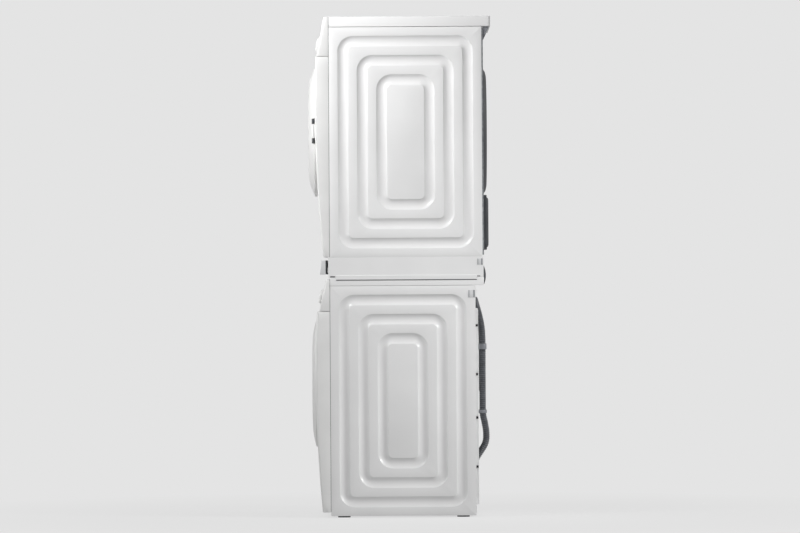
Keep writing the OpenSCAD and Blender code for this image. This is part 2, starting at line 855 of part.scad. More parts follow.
// Water valve whose threaded spout stands in the rear recess
valve_z = side_h - 50;
spout_r = 13.2;

module inlet_valve() {
    color("whitesmoke") washer() translate([-hose_x, 0, valve_z]) {
        rod_y(recess_y - 60, recess_y - sheet_t - gap, 24);
        rod_y(recess_y - sheet_t - poke, washer_depth + 7, spout_r);
    }
}

// ---------- drain hose ----------

// A smooth curve through the route's points
function spline(p, i, t) = let (a = p[max(i - 1, 0)], b = p[i], c = p[i + 1],
        d = p[min(i + 2, len(p) - 1)])
    0.5 * (2 * b + (c - a) * t + (2 * a - 5 * b + 4 * c - d) * t * t
        + (3 * b - a - 3 * c + d) * t * t * t);

hose_line = [for (i = [0:len(hose_route) - 2], j = [0:hose_steps - 1])
    spline(hose_route, i, j / hose_steps), hose_route[len(hose_route) - 1]];

function unit(v) = v / norm(v);
function ring(line, i, r, sides) = let (n = len(line), t = unit(line[min(i + 1, n - 1)]
        - line[max(i - 1, 0)]), u = unit(cross(t, [0.02, 1, 0.01])), v = cross(t, u))
    [for (k = [0:sides - 1]) let (a = 360 * k / sides) line[i] + r * (cos(a) * u + sin(a) * v)];

// Closed tube along a line
module tube(line, r, sides) {
    n = len(line);
    points = [for (i = [0:n - 1]) each ring(line, i, r, sides)];
    walls = [for (i = [0:n - 2], k = [0:sides - 1]) let (a = i * sides + k,
            b = i * sides + (k + 1) % sides) each [[a, b, b + sides], [a, b + sides, a + sides]]];
    first = [for (k = [sides - 1:-1:0]) k];
    last = [for (k = [0:sides - 1]) (n - 1) * sides + k];
    polyhedron(points, concat(walls, [first], [last]));
}

module drain_hose() { color("dimgray") washer() tube(hose_line, hose_r, hose_sides); }

// Bands that hold the hose to the rear panel
module hose_clips() {
    color("lightgray") washer() for (b = hose_bands, x = [hose_x]) translate([x, 0, b[0]])
        difference() {
            union() {
                translate([0, hose_y, -b[1] / 2]) cylinder(h = b[1], r = hose_r + hose_gap + clip_t);
                block([-hose_r, washer_depth + rear_bulge, -b[1] / 2], [hose_r, hose_y, b[1] / 2]);
            }
            translate([0, hose_y, -b[1]]) cylinder(h = 2 * b[1], r = hose_r + hose_gap);
        }
}

// ---------- stacking kit ----------
kit_front = -6;
kit_rear = washer_depth + top_over - 1;
shelf_z = [17, 17 + shelf_h];
front_z = [11, 11 + shelf_front_h];

// Frame: walls, a deck for the dryer's feet, guides for the shelf and a skirt
module kit_frame() {
    t = 2.5;
    deck = kit_h - foot_h;
    front_lip = front_z[1] + 2;
    skirt = 8;
    color("whitesmoke") kit() {
        difference() {
            block([-half_w, kit_front, 0], [half_w, kit_rear, kit_h]);
            block([-half_w + t, kit_front + t, -poke], [half_w - t, kit_rear - t, deck - t]);
            block([-half_w + t, kit_front + t, deck], [half_w - t, kit_rear - t, kit_h + poke]);
            block([-half_w + t, kit_front - poke, shelf_z[0] - 3],
                [half_w - t, kit_front + t + poke, front_lip - 14]);
        }
        both_sides() {
            block([half_w - t - 14, 20, 6], [half_w - t, kit_rear - 30, shelf_z[0] - 1]);
            block([half_w, 21, -skirt], [half_w + t, washer_depth + 7, 7]);
        }
    }
}

module kit_shelf() {
    x = half_w - 8;
    w = 2.5;
    y = [-15, kit_rear - 70];
    z = shelf_z;
    color("whitesmoke") kit() difference() {
        block([-x, y[0], z[0]], [x, y[1], z[1]]);
        block([-x + 14, 20, z[0] + w + 6], [x - 14, y[1] - 14, z[1] + poke]);
        block([-x + w, 10, z[0] - poke], [x - w, y[1] - w, z[0] + 6 - w]);
    }
}

// Slanted front of the shelf, with a finger groove under it
module kit_shelf_front() {
    x = half_w - 2;
    end_wall = 12;
    color("whitesmoke") kit() difference() {
        sheet_x(-x, 2 * x) polygon([[-35, front_z[0]], [-15, front_z[0]], [-15, front_z[1]],
            [-29, front_z[1]]]);
        block([end_wall - x, -29, front_z[0] - poke], [x - end_wall, -19, front_z[0] + 14]);
    }
}

// Straps behind the kit and small plates on its sides
module kit_brackets() {
    t = 2;
    y = washer_depth + top_over;
    z = washer_z + side_h + washer_top_h - kit_z;
    color("lightgray") kit() both_sides() {
        block([half_w - 60, y, -26], [half_w - 12, y + 2.5, 39]);
        block([half_w - 60, kit_rear, 10], [half_w - 12, y, 36]);
        intersection() {
            translate([half_w - 60, y - 2, z - 8]) rotate([0, 90, 0])
                cylinder(h = 48, r = 9);
            block([half_w - 60, y + 2, -20], [half_w - 12, y + 10, 4]);
        }
        block([half_w, washer_depth + 9, 42], [half_w + t, kit_rear - 2, 64]);
        block([half_w, washer_depth - 23, -72], [half_w + t, washer_depth, -46]);
    }
}

// ---------- inside the dryer ----------

module at_dryer_axis() { dryer() translate([0, 0, dryer_axis_z]) children(); }

// Drum with rolled ends, three paddles and a rear shaft
module dryer_drum() {
    r = dryer_drum_r;
    t = 1.5;
    lip = mouth_r + 30;
    y0 = dryer_drum_y[0];
    y1 = dryer_drum_y[1];
    color("silver") at_dryer_axis() {
        turned([[lip, y0], [r, y0], [r, y1], [dryer_shaft_r, y1],
            [dryer_shaft_r, dryer_depth - 2], [0, dryer_depth - 2], [0, y1 - t],
            [r - t, y1 - t], [r - t, y0 + t], [lip, y0 + t]]);
        lifters(r - t / 2, y0 + 25, y1 - 25, 48, 64);
    }
}

// Panel that closes the drum's front, with a rim inside the drum's mouth and filter guides
filter_w = 170;
filter_h = 130;
filter_y = [53, 61];
filter_z = dryer_axis_z - mouth_r - 120;

module dryer_bulkhead() {
    x = half_w - channel_d - 4;
    t = 3;
    y = 42;
    color("gainsboro") dryer() difference() {
        union() {
            block([-x, y, base_lift + base_h + gap], [x, y + t, side_h - 100]);
            for (s = [-1, 1]) block([s * (filter_w / 2 + 4) - 4, y, filter_z - 6],
                [s * (filter_w / 2 + 4) + 4, filter_y[1] + 3, filter_z + filter_h - 10]);
            block([-filter_w / 2 - 8, y, filter_z - 8],
                [filter_w / 2 + 8, filter_y[1] + 3, filter_z - gap]);
        }
        translate([0, 0, dryer_axis_z]) rod_y(y - poke, y + 40, mouth_r + 6);
    }
}

module lint_filter() {
    frame_t = 8;
    x = filter_w / 2 - gap;
    color("silver") dryer() difference() {
        block([-x, filter_y[0], filter_z], [x, filter_y[1], filter_z + filter_h]);
        block([-x + frame_t, filter_y[0] - poke, filter_z + frame_t],
            [x - frame_t, filter_y[0] + 3, filter_z + filter_h - frame_t]);
    }
}

// Vector from the drum's axis to the motor's shaft, as [x, z]
dryer_drive = dryer_motor_at - [0, dryer_axis_z];

module dryer_belt() {
    color("dimgray") at_dryer_axis() sheet_y(dryer_belt_y[0], dryer_belt_y[1]) difference() {
        polygon(belt_loop(dryer_drum_r + 2.5 * gap + dryer_belt_t, dryer_drive,
            rotor_pulley_r + gap + dryer_belt_t));
        polygon(belt_loop(dryer_drum_r + 2.5 * gap, dryer_drive, rotor_pulley_r + 2 * gap));
    }
}

module at_dryer_motor() {
    dryer() translate([dryer_motor_at[0], 0, dryer_motor_at[1]]) children();
}

module dryer_motor() {
    color("gray") at_dryer_motor() difference() {
        union() {
            rod_y(180, 320, dryer_motor_r);
            rod_y(320, 332, 24);
            for (y = [195, 285]) block([-30, y, -dryer_motor_at[1] + base_lift + 3],
                [30, y + 15, -dryer_motor_r / 2]);
        }
        rod_y(200, 332 + poke, rotor_r + fit);
    }
}

// Motor shaft with the belt's pulley and the fan that blows through the rear duct
module dryer_rotor() {
    color("silver") at_dryer_motor() {
        rod_y(205, 510, rotor_r);
        rod_y(dryer_belt_y[0] - 4, dryer_belt_y[1] + 4, rotor_pulley_r);
        rod_y(505, 510, fan_r);
        for (i = [0:11]) rotate([0, 30 * i, 0]) block([-1, 480, 30], [1, 506, fan_r]);
    }
}

// Finned block that cools the moist air
module condenser() {
    low = [-250, 80, base_lift + 12];
    high = [-80, 400, 150];
    fins = 16;
    pitch = (high[1] - low[1]) / fins;
    color("silver") dryer() {
        block(low, [high[0], high[1], low[2] + 6]);
        block([low[0], low[1], high[2] - 6], high);
        for (i = [0:fins]) block([low[0] + 4, low[1] + i * (pitch - 0.15), low[2] + 6 - poke],
            [high[0] - 4, low[1] + i * (pitch - 0.15) + 2, high[2] - 6 + poke]);
        block([low[0] + 10, low[1] + 10, base_lift + 3], [high[0] - 10, low[1] + 30, low[2] + 1]);
        block([low[0] + 10, high[1] - 30, base_lift + 3],
            [high[0] - 10, high[1] - 10, low[2] + 1]);
    }
}

feet();
washer_base();
washer_side_left();
washer_side_right();
washer_rear_panel();
washer_worktop();
washer_front_panel();
washer_control_panel();
washer_dial();
washer_start_button();
detergent_drawer();
dispenser_housing();
washer_door_frame();
washer_door_glass();
washer_door_hinge();
hinge_brackets();
washer_gasket();
washer_tub();
washer_drum();
washer_lifters();
washer_drum_pulley();
washer_belt();
washer_motor();
washer_motor_pulley();
counterweights();
tub_springs();
tub_dampers();
drain_pump();
pump_filter();
pump_flap();
inlet_valve();
drain_hose();
hose_clips();
kit_frame();
kit_shelf();
kit_shelf_front();
kit_brackets();
dryer_base();
dryer_side_left();
dryer_side_right();
dryer_rear_panel();
dryer_air_duct();
dryer_fan_cover();
dryer_worktop();
worktop_brackets();
dryer_front_panel();
dryer_control_panel();
dryer_dial();
dryer_start_button();
water_tank();
dryer_door_frame();
dryer_door_glass();
dryer_door_hinge();
dryer_bulkhead();
lint_filter();
dryer_drum();
dryer_belt();
dryer_motor();
dryer_rotor();
condenser();
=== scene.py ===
# A front-loading washer with a tumble dryer stacked on it, on a kit with a pull-out shelf.
import math

import bmesh
import bpy
from mathutils import Matrix, Vector


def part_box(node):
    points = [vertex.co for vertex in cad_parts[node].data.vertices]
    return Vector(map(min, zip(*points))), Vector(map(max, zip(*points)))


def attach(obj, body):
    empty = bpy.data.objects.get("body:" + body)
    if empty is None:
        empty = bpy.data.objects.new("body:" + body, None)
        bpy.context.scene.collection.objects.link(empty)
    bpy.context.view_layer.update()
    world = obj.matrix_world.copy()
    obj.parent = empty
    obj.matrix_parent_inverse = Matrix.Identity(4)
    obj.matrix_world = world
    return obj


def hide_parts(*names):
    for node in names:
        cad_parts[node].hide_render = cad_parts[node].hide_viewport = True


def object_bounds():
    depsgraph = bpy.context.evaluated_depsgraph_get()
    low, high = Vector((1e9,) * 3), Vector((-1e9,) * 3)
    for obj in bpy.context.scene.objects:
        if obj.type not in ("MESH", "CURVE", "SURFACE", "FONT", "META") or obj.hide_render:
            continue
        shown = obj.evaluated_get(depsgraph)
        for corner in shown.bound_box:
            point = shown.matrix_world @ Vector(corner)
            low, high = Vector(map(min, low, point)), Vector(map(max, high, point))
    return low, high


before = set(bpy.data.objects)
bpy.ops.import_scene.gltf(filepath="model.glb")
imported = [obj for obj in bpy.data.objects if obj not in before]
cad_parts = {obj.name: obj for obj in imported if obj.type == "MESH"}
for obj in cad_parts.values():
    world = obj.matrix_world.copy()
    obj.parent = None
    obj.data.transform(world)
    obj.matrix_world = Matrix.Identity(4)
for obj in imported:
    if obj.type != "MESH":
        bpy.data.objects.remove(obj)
cad_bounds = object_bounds()

# --- Camera, light and floor -----------------------------------------------------------------
# The camera stands far off on the right-hand side, level with the middle of the stack. Five
# square lamps add to a pale grey sky: two on the upper part, one on the lower back, and a
# broad fill at the front and at the rear. The floor is pale and fades into the sky.
mm = 0.001
SKY = "#E4E4E4"
camera_x = 20.3
camera_rise = 1.5 * mm
view_width = 2.8
film_width = 36.0
camera_roll = -0.35
ambient = 0.5
# Distances from the middle of the floor, in metres, between which it fades to plain sky.
fade_start = 0.4
fade_end = 2.0
least_sky = 0.82


def tone(code):
    """An sRGB hex colour as linear red, green, blue and alpha."""
    parts = [int(code[i:i + 2], 16) / 255 for i in (1, 3, 5)]
    return [p / 12.92 if p <= 0.04045 else ((p + 0.055) / 1.055) ** 2.4 for p in parts] + [1]


def add(tree, kind, inputs=None, **settings):
    """Adds a shader node, sets its properties, and sets or links its inputs."""
    made = tree.nodes.new("ShaderNode" + kind)
    for name, value in settings.items():
        setattr(made, name, value)
    for name, value in (inputs or {}).items():
        if isinstance(value, bpy.types.NodeSocket):
            tree.links.new(value, made.inputs[name])
        else:
            made.inputs[name].default_value = value
    return made


def lamp(name, place, target, size, watts, spread=180):
    """A square area lamp at a place, turned towards a target, with its light held to a cone."""
    bpy.ops.object.light_add(type="AREA", location=place)
    made = bpy.context.object
    made.name = name
    made.data.size = size
    made.data.energy = watts
    made.data.spread = math.radians(spread)
    aim = Vector(target) - Vector(place)
    made.rotation_euler = aim.to_track_quat("-Z", "Y").to_euler()


low, high = (Vector(corner) for corner in cad_bounds)
side_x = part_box("washer_side_right")[1].x
middle_z = (low.z + high.z) / 2 + camera_rise
bpy.ops.object.camera_add(location=(camera_x, 0, middle_z))
camera = bpy.context.object
camera.rotation_euler = (Matrix.Rotation(math.radians(camera_roll), 3, "X")
                         @ Vector((-1, 0, 0)).to_track_quat("-Z", "Y").to_matrix()).to_euler()
camera.data.sensor_width = film_width
camera.data.lens = film_width * (camera_x - side_x) / view_width
camera.data.clip_end = 200
bpy.context.scene.camera = camera
bpy.context.scene.view_settings.view_transform = "Standard"

sky = bpy.data.worlds.new("studio")
bpy.context.scene.world = sky
sky.use_nodes = True
seen = add(sky.node_tree, "LightPath").outputs["Is Camera Ray"]
strength = add(sky.node_tree, "MapRange", {"Value": seen, "To Min": ambient, "To Max": 1.0})
background = sky.node_tree.nodes["Background"]
background.inputs["Color"].default_value = tone(SKY)
sky.node_tree.links.new(strength.outputs[0], background.inputs["Strength"])
lamp("upper_front_lamp", (2.1, -3.0, 3.3), (0.3, 0, 1.5), 1.0, 6, 50)
lamp("upper_side_lamp", (1.9, -1.3, 2.6), (0.3, -0.25, 1.75), 0.8, 3.1, 52)
lamp("lower_back_lamp", (1.5, 2.6, 1.7), (0.3, 0, 0.35), 0.8, 3, 40)
lamp("front_fill_lamp", (0.2, -4.2, 1.8), (0, 0, 1.1), 1.6, 9, 120)
lamp("rear_fill_lamp", (-1.6, 3.8, 2.4), (0, 0, 0.9), 1.6, 9, 120)

bpy.ops.mesh.primitive_circle_add(vertices=128, radius=40, fill_type="NGON")
floor = bpy.context.object
floor.name = "floor"
paper = bpy.data.materials.new("studio_paper")
paper.use_nodes = True
tree = paper.node_tree
tree.nodes.clear()
place = add(tree, "TexCoord").outputs["Object"]
far = add(tree, "VectorMath", {0: place}, operation="LENGTH").outputs["Value"]
fade = add(tree, "MapRange", {"Value": far, "From Min": fade_start, "From Max": fade_end,
                              "To Min": least_sky, "To Max": 1.0}).outputs[0]
lit = add(tree, "BsdfDiffuse", {"Color": tone("#F8F8F8")}).outputs[0]
glow = add(tree, "MapRange", {"Value": add(tree, "LightPath").outputs["Is Camera Ray"],
                              "To Min": ambient, "To Max": 1.0}).outputs[0]
plain = add(tree, "Emission", {"Color": tone(SKY), "Strength": glow}).outputs[0]
mixed = add(tree, "MixShader", {0: fade, 1: lit, 2: plain}).outputs[0]
add(tree, "OutputMaterial", {"Surface": mixed})
floor.data.materials.append(paper)

# --- Side panels -----------------------------------------------------------------------------
# Each side of both cabinets is one sheet of low-carbon steel, deep-drawn with three round-
# cornered channels one inside the other, folded inwards round its edge, and coated with
# white powder enamel: smooth and half glossy, with a faint orange peel.
half = side_x / mm
sheet = 1.2
flange = 14
channel_margin = 49
channel_pitch = 67.5
channel_width = 37
channel_depth = 8
channel_radius = 35
channels = 3
channel_steps = 12
corner_steps = 10
fold_radius = 2
fold_edge = 0.9
# How far a point may lie off a round-cornered outline and still be taken as on it.
outline_slack = 1.5
origin = {name: Vector((0, *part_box(f"{name}_side_right")[0].yz)) for name in ("washer", "dryer")}


def ready():
    """Object mode, with nothing selected."""
    if bpy.context.mode != "OBJECT":
        bpy.ops.object.mode_set(mode="OBJECT")
    bpy.ops.object.select_all(action="DESELECT")


def alone(made):
    """Makes a piece the only one selected."""
    ready()
    bpy.context.view_layer.objects.active = made
    made.select_set(True)
    return made


def pick(kind, test):
    """In edit mode, selects only the faces, edges or points that pass the test."""
    bpy.ops.mesh.select_all(action="DESELECT")
    bpy.ops.mesh.select_mode(type=kind)
    mesh = bmesh.from_edit_mesh(bpy.context.edit_object.data)
    for part in {"FACE": mesh.faces, "EDGE": mesh.edges, "VERT": mesh.verts}[kind]:
        if test(part):
            part.select_set(True)
    mesh.select_flush_mode()
    bmesh.update_edit_mesh(bpy.context.edit_object.data)


def modify(made, kind, **settings):
    """Adds a modifier to a piece and applies it."""
    alone(made)
    modifier = made.modifiers.new(kind.lower(), kind)
    for setting, value in settings.items():
        setattr(modifier, setting, value)
    bpy.ops.object.modifier_apply(modifier=modifier.name)
    return made


def soften(made, radius, steps=2, angle=40):
    """Rounds every edge that is sharper than the angle."""
    return modify(made, "BEVEL", width=radius * mm, segments=steps, limit_method="ANGLE",
                  angle_limit=math.radians(angle), use_clamp_overlap=True)


def settle(made, name, body, finish, slot, *nodes, smooth=35):
    """Bakes a piece's place into its mesh, gives it its material, and lets it ride."""
    alone(made)
    bpy.ops.object.transform_apply(location=True, rotation=True, scale=True)
    bpy.ops.object.shade_smooth_by_angle(angle=math.radians(smooth))
    made.name = name
    made.data.name = name
    made.data.materials.clear()
    made.data.materials.append(finish)
    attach(made, body)
    if nodes:
        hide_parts(*nodes)
    return made


def surface(name, light, dark, patch, rough, grain, height, stretch=(1, 1, 1), **sockets):
    """A material whose colour and gloss drift between two tones over a raised grain. The
    sizes of its patches, grain and relief are in mm; stretch draws the grain out."""
    made = bpy.data.materials.new(name)
    made.use_nodes = True
    tree = made.node_tree
    shader = tree.nodes["Principled BSDF"]
    for socket, value in sockets.items():
        shader.inputs[socket.replace("_", " ")].default_value = value
    place = add(tree, "TexCoord").outputs["Object"]
    run = add(tree, "Mapping", {"Vector": place, "Scale": stretch}).outputs[0]
    drift = add(tree, "TexNoise", {"Vector": run, "Scale": 1 / (patch * mm), "Detail": 3.0})
    ramp = add(tree, "ValToRGB", {"Fac": drift.outputs[0]})
    for stop, position, code in zip(ramp.color_ramp.elements, (0.35, 0.65), (dark, light)):
        stop.position = position
        stop.color = tone(code)
    gloss = add(tree, "MapRange", {"Value": drift.outputs[0], "From Min": 0.3, "From Max": 0.7,
                                   "To Min": rough[0], "To Max": rough[1]})
    fine = add(tree, "TexNoise", {"Vector": run, "Scale": 1 / (grain * mm), "Detail": 2.0})
    raised = add(tree, "Bump", {"Height": fine.outputs[0], "Distance": height * mm})
    tree.links.new(ramp.outputs[0], shader.inputs["Base Color"])
    tree.links.new(gloss.outputs[0], shader.inputs["Roughness"])
    tree.links.new(raised.outputs[0], shader.inputs["Normal"])
    return made


# White powder enamel on steel: two nearly equal whites and a slow orange peel.
enamel = surface("white_powder_enamel", "#EDEDED", "#E9E9E9", 180, (0.30, 0.38), 4, 0.02,
                 Coat_Weight=0.2, Coat_Roughness=0.25)


def outline(width, height, radius):
    """In edit mode, adds a flat round-cornered face of that size, in mm, and selects it."""
    bpy.ops.mesh.select_all(action="DESELECT")
    bpy.ops.mesh.primitive_plane_add(size=1)
    bpy.ops.transform.resize(value=(width * mm, height * mm, 1), center_override=(0, 0, 0))
    bpy.ops.mesh.bevel(offset=radius * mm, segments=corner_steps, affect="VERTICES")


def on_outline(edge, width, height, radius):
    """Whether both ends of an edge lie on a flat round-cornered outline of that size."""
    gaps = []
    for vert in edge.verts:
        x = abs(vert.co.x) / mm - width / 2 + radius
        y = abs(vert.co.y) / mm - height / 2 + radius
        gaps.append(abs(math.hypot(max(x, 0), max(y, 0)) + min(max(x, y), 0) - radius))
    level = abs(edge.verts[0].co.z) < 0.1 * mm
    return len(edge.link_faces) < 2 and max(gaps) < outline_slack and level


def channel_floor(offset):
    """Depth of a channel's round floor at an offset from its middle line."""
    reach = channel_width / 2
    radius = (reach ** 2 + channel_depth ** 2) / (2 * channel_depth)
    return max(0, math.sqrt(radius ** 2 - offset ** 2) - radius + channel_depth)


def side_panel(machine, side):
    """One pressed panel, drawn lying flat with its outside up and then stood on its edge."""
    corner, far_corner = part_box(f"{machine}_side_{side}")
    depth = (far_corner.y - corner.y) / mm
    tall = (far_corner.z - corner.z) / mm
    reach = channel_width / 2
    offsets = [reach * math.cos(math.pi * i / channel_steps) for i in range(channel_steps + 1)]
    ready()
    bpy.ops.mesh.primitive_plane_add(size=1)
    made = bpy.context.object
    bpy.ops.object.mode_set(mode="EDIT")
    bpy.ops.mesh.select_all(action="SELECT")
    bpy.ops.mesh.delete(type="VERT")
    outline(depth, tall, fold_radius)
    bpy.ops.mesh.delete(type="ONLY_FACE")
    near = (depth, tall, fold_radius)
    for ring in range(channels):
        across = depth - 2 * (channel_margin + ring * channel_pitch)
        along = tall - 2 * (channel_margin + ring * channel_pitch)
        far = (across + channel_width, along + channel_width, channel_radius + reach)
        outline(*far)
        for a, b in zip(offsets, offsets[1:]):
            bpy.ops.mesh.inset(thickness=(a - b) * mm,
                               depth=(channel_floor(a) - channel_floor(b)) * mm)
        if ring < channels - 1:
            bpy.ops.mesh.delete(type="ONLY_FACE")
        pick("EDGE", lambda e: on_outline(e, *near) or on_outline(e, *far))
        bpy.ops.mesh.fill()
        near = (across - channel_width, along - channel_width, channel_radius - reach)
    pick("EDGE", lambda e: on_outline(e, depth, tall, fold_radius))
    bpy.ops.mesh.extrude_region_move(TRANSFORM_OT_translate={"value": (0, 0, -flange * mm)})
    bpy.ops.mesh.select_all(action="SELECT")
    bpy.ops.mesh.normals_make_consistent(inside=False)
    modify(made, "SOLIDIFY", thickness=sheet * mm, offset=-1)
    soften(made, fold_edge, 2, 38)
    stand = Matrix.Rotation(math.pi / 2, 4, "Z") @ Matrix.Rotation(math.pi / 2, 4, "X")
    if side == "left":
        stand = Matrix.Rotation(math.pi, 4, "Z") @ stand
    edge = side_x if side == "right" else -side_x
    made.matrix_world = Matrix.Translation((edge, (corner.y + far_corner.y) / 2,
                                            (corner.z + far_corner.z) / 2)) @ stand
    settle(made, f"{machine}_{side}_panel", "cabinet", enamel, "white_enamel",
           f"{machine}_side_{side}")


for machine in ("washer", "dryer"):
    for side in ("right", "left"):
        side_panel(machine, side)

# --- Worktops ----------------------------------------------------------------------------------
# Each machine is closed by a chipboard top with a smooth white laminate, held by a moulded
# edge strip whose corners and edges are rounded. It is screwed down from behind.
shadow_gap = {"dryer": 1.5, "washer": 0.7}
top_corner = 8
top_edge = 2.5
# Width and rise of each step inwards: the flat edge strip, then the two walls of the groove.
top_steps = ((5.4, 0), (0.8, -1.0), (0.8, 0.7))
laminate = surface("white_laminate", "#EEEEEE", "#EDEDED", 260, (0.30, 0.32), 1.5, 0.003)


def block(base, low, high):
    """A new box between two corners, in mm from a base point, in object mode."""
    ready()
    low, high = Vector(low) * mm, Vector(high) * mm
    bpy.ops.mesh.primitive_cube_add(size=1, location=base + (low + high) / 2,
                                    scale=high - low)
    bpy.ops.object.transform_apply(location=True, rotation=True, scale=True)
    return bpy.context.object


def round_edges(made, radius, steps, test):
    """Bevels the edges that pass a test, on a piece in object mode."""
    alone(made)
    bpy.ops.object.mode_set(mode="EDIT")
    pick("EDGE", test)
    bpy.ops.mesh.bevel(offset=radius * mm, segments=steps, clamp_overlap=True)
    ready()


def upright(edge):
    """Whether an edge stands upright."""
    return abs(edge.verts[0].co.z - edge.verts[1].co.z) > 5 * mm


def worktop(machine):
    """A slab with rounded corners, and a groove where its edge strip meets the laminate."""
    corner, far_corner = (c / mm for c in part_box(f"{machine}_worktop"))
    made = block(Vector(), corner + Vector((0, 0, shadow_gap[machine])), far_corner)
    round_edges(made, top_corner, 5, lambda e: upright(e) and e.verts[0].co.y > 0)
    alone(made)
    bpy.ops.object.mode_set(mode="EDIT")
    pick("FACE", lambda f: f.normal.z > 0.9)
    for width, rise in top_steps:
        bpy.ops.mesh.inset(thickness=width * mm, depth=rise * mm)
    soften(made, top_edge, 4, 60)
    settle(made, f"{machine}_top", "cabinet", laminate, "worktop_white", f"{machine}_worktop")


worktop("washer")
worktop("dryer")

# --- Bases and feet ----------------------------------------------------------------------------
# Under each cabinet is an open polypropylene tray that stiffens it, on four moulded feet with
# threaded stems. They are dark, matt and lightly grained.
dark_plastic = surface("dark_polypropylene", "#505255", "#45474A", 40, (0.45, 0.60), 0.9, 0.05)
weld_reach = 0.01


def carry(finish, *nodes, radius=0.8, steps=2):
    """Rounds the edges of modelled solids with live modifiers and gives them a material."""
    for node in nodes:
        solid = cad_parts[node]
        weld = solid.modifiers.new("weld", "WELD")
        weld.merge_threshold = weld_reach * mm
        bevel = solid.modifiers.new("edges", "BEVEL")
        bevel.width = radius * mm
        bevel.segments = steps
        bevel.limit_method = "ANGLE"
        bevel.angle_limit = math.radians(40)
        solid.data.materials.clear()
        solid.data.materials.append(finish)


carry(dark_plastic, "feet", "washer_base", "dryer_base")

# --- Rear of the washer ------------------------------------------------------------------------
# The washer's back is one sheet of enamelled steel with a raised middle and a recess for the
# hose, held by a row of blackened steel hexagon screws down each side.
# Heights of the screws, their distance from the side, the panel's rear face and the height
# of a head on it, in mm.
screw_rows = {"washer": ((170, 342, 494, 665), 9, 509.2, 7.5),
              "dryer": ((40, 230, 420, 610, 770), 14, 536.2, 3.8)}
# Zinc-plated steel: cool grey, with pale and dark patches of spangle.
zinc = surface("zinc_plated_steel", "#B9BDC0", "#9CA0A4", 9, (0.30, 0.48), 2.5, 0.02,
               Metallic=1.0)
# Blackened steel of the screws: near black, with a dull sheen.
black_steel = surface("blackened_steel", "#3A3B3D", "#2C2D2F", 4, (0.35, 0.5), 0.6, 0.01,
                      Metallic=0.8)
carry(enamel, "washer_rear_panel", radius=1.0)
# A turned piece starts this wide where it meets its axis, and is closed there afterwards.
pole_radius = 0.01
pole_reach = 0.025


def lathe(hub, shape, segments=96):
    """A turned solid about the line along Y through a hub, from (radius, y) points in mm."""
    ready()
    (radius, y), *rest = shape
    bpy.ops.mesh.primitive_circle_add(vertices=segments,
                                      radius=max(radius, pole_radius) * mm,
                                      location=hub + Vector((0, y * mm, 0)),
                                      rotation=(math.pi / 2, 0, 0))
    made = bpy.context.object
    bpy.ops.object.mode_set(mode="EDIT")
    bpy.ops.mesh.select_mode(type="EDGE")
    bpy.ops.mesh.select_all(action="SELECT")
    for next_radius, next_y in rest:
        bpy.ops.mesh.extrude_region_move(
            TRANSFORM_OT_translate={"value": (0, (next_y - y) * mm, 0)})
        ratio = max(next_radius, pole_radius) / max(radius, pole_radius)
        bpy.ops.transform.resize(value=(ratio, 1, ratio), center_override=hub)
        radius, y = next_radius, next_y
    bpy.ops.mesh.select_all(action="SELECT")
    bpy.ops.mesh.remove_doubles(threshold=pole_reach * mm)
    bpy.ops.mesh.normals_make_consistent(inside=False)
    alone(made)
    bpy.ops.object.transform_apply(location=True, rotation=True, scale=True)
    return made


def merge(*parts):
    """Joins several pieces into the first."""
    ready()
    for part in parts:
        part.select_set(True)
    bpy.context.view_layer.objects.active = parts[0]
    bpy.ops.object.join()
    return parts[0]


def rear_screws(machine):
    """Hexagon heads on round washers, in a row down each side of a back panel."""
    heights, inset, y, tall = screw_rows[machine]
    made = []
    for x in (inset - half, half - inset):
        for z in heights:
            hub = origin[machine] + Vector((x, 0, z)) * mm
            made.append(lathe(hub, [(0, y), (5.5, y), (5.5, y + 0.8), (0, y + 0.8)], 24))
            made.append(lathe(hub, [(0, y + 0.8), (4.2, y + 0.8), (4.2, y + tall - 0.6),
                                    (3.4, y + tall), (0, y + tall)], 6))
    settle(merge(*made), f"{machine}_rear_screws", "cabinet", black_steel, "galvanised_steel")


rear_screws("washer")

# --- Rear of the dryer -------------------------------------------------------------------------
# The dryer's back is a zinc-plated sheet. A round air duct and the fan's housing stand on it,
# both moulded in dark polypropylene with ribs, and two gussets carry the worktop's overhang.
carry(zinc, "dryer_rear_panel", radius=0.6)
# Grey polyamide of the gussets: mid grey and satin.
polyamide = surface("grey_polyamide", "#8B8D92", "#7C7E83", 30, (0.4, 0.5), 0.9, 0.03)
carry(polyamide, "worktop_brackets", radius=0.8)
duct_z = 444
duct_ribs = 24
duct_lugs = 8
# Width and rise of each step inwards on the fan's cover, from its rim to its sunk middle.
cover_steps = ((8, 0), (3, 4), (6, 2), (8, 0), (1.5, -2.5))
slats = 13
slat_pitch = 24


def polar(made, hub, angle):
    """Turns a piece about the line along Y through a hub."""
    made.matrix_world = (Matrix.Translation(hub) @ Matrix.Rotation(math.radians(angle), 4, "Y")
                         @ Matrix.Translation(-hub) @ made.matrix_world)
    return made


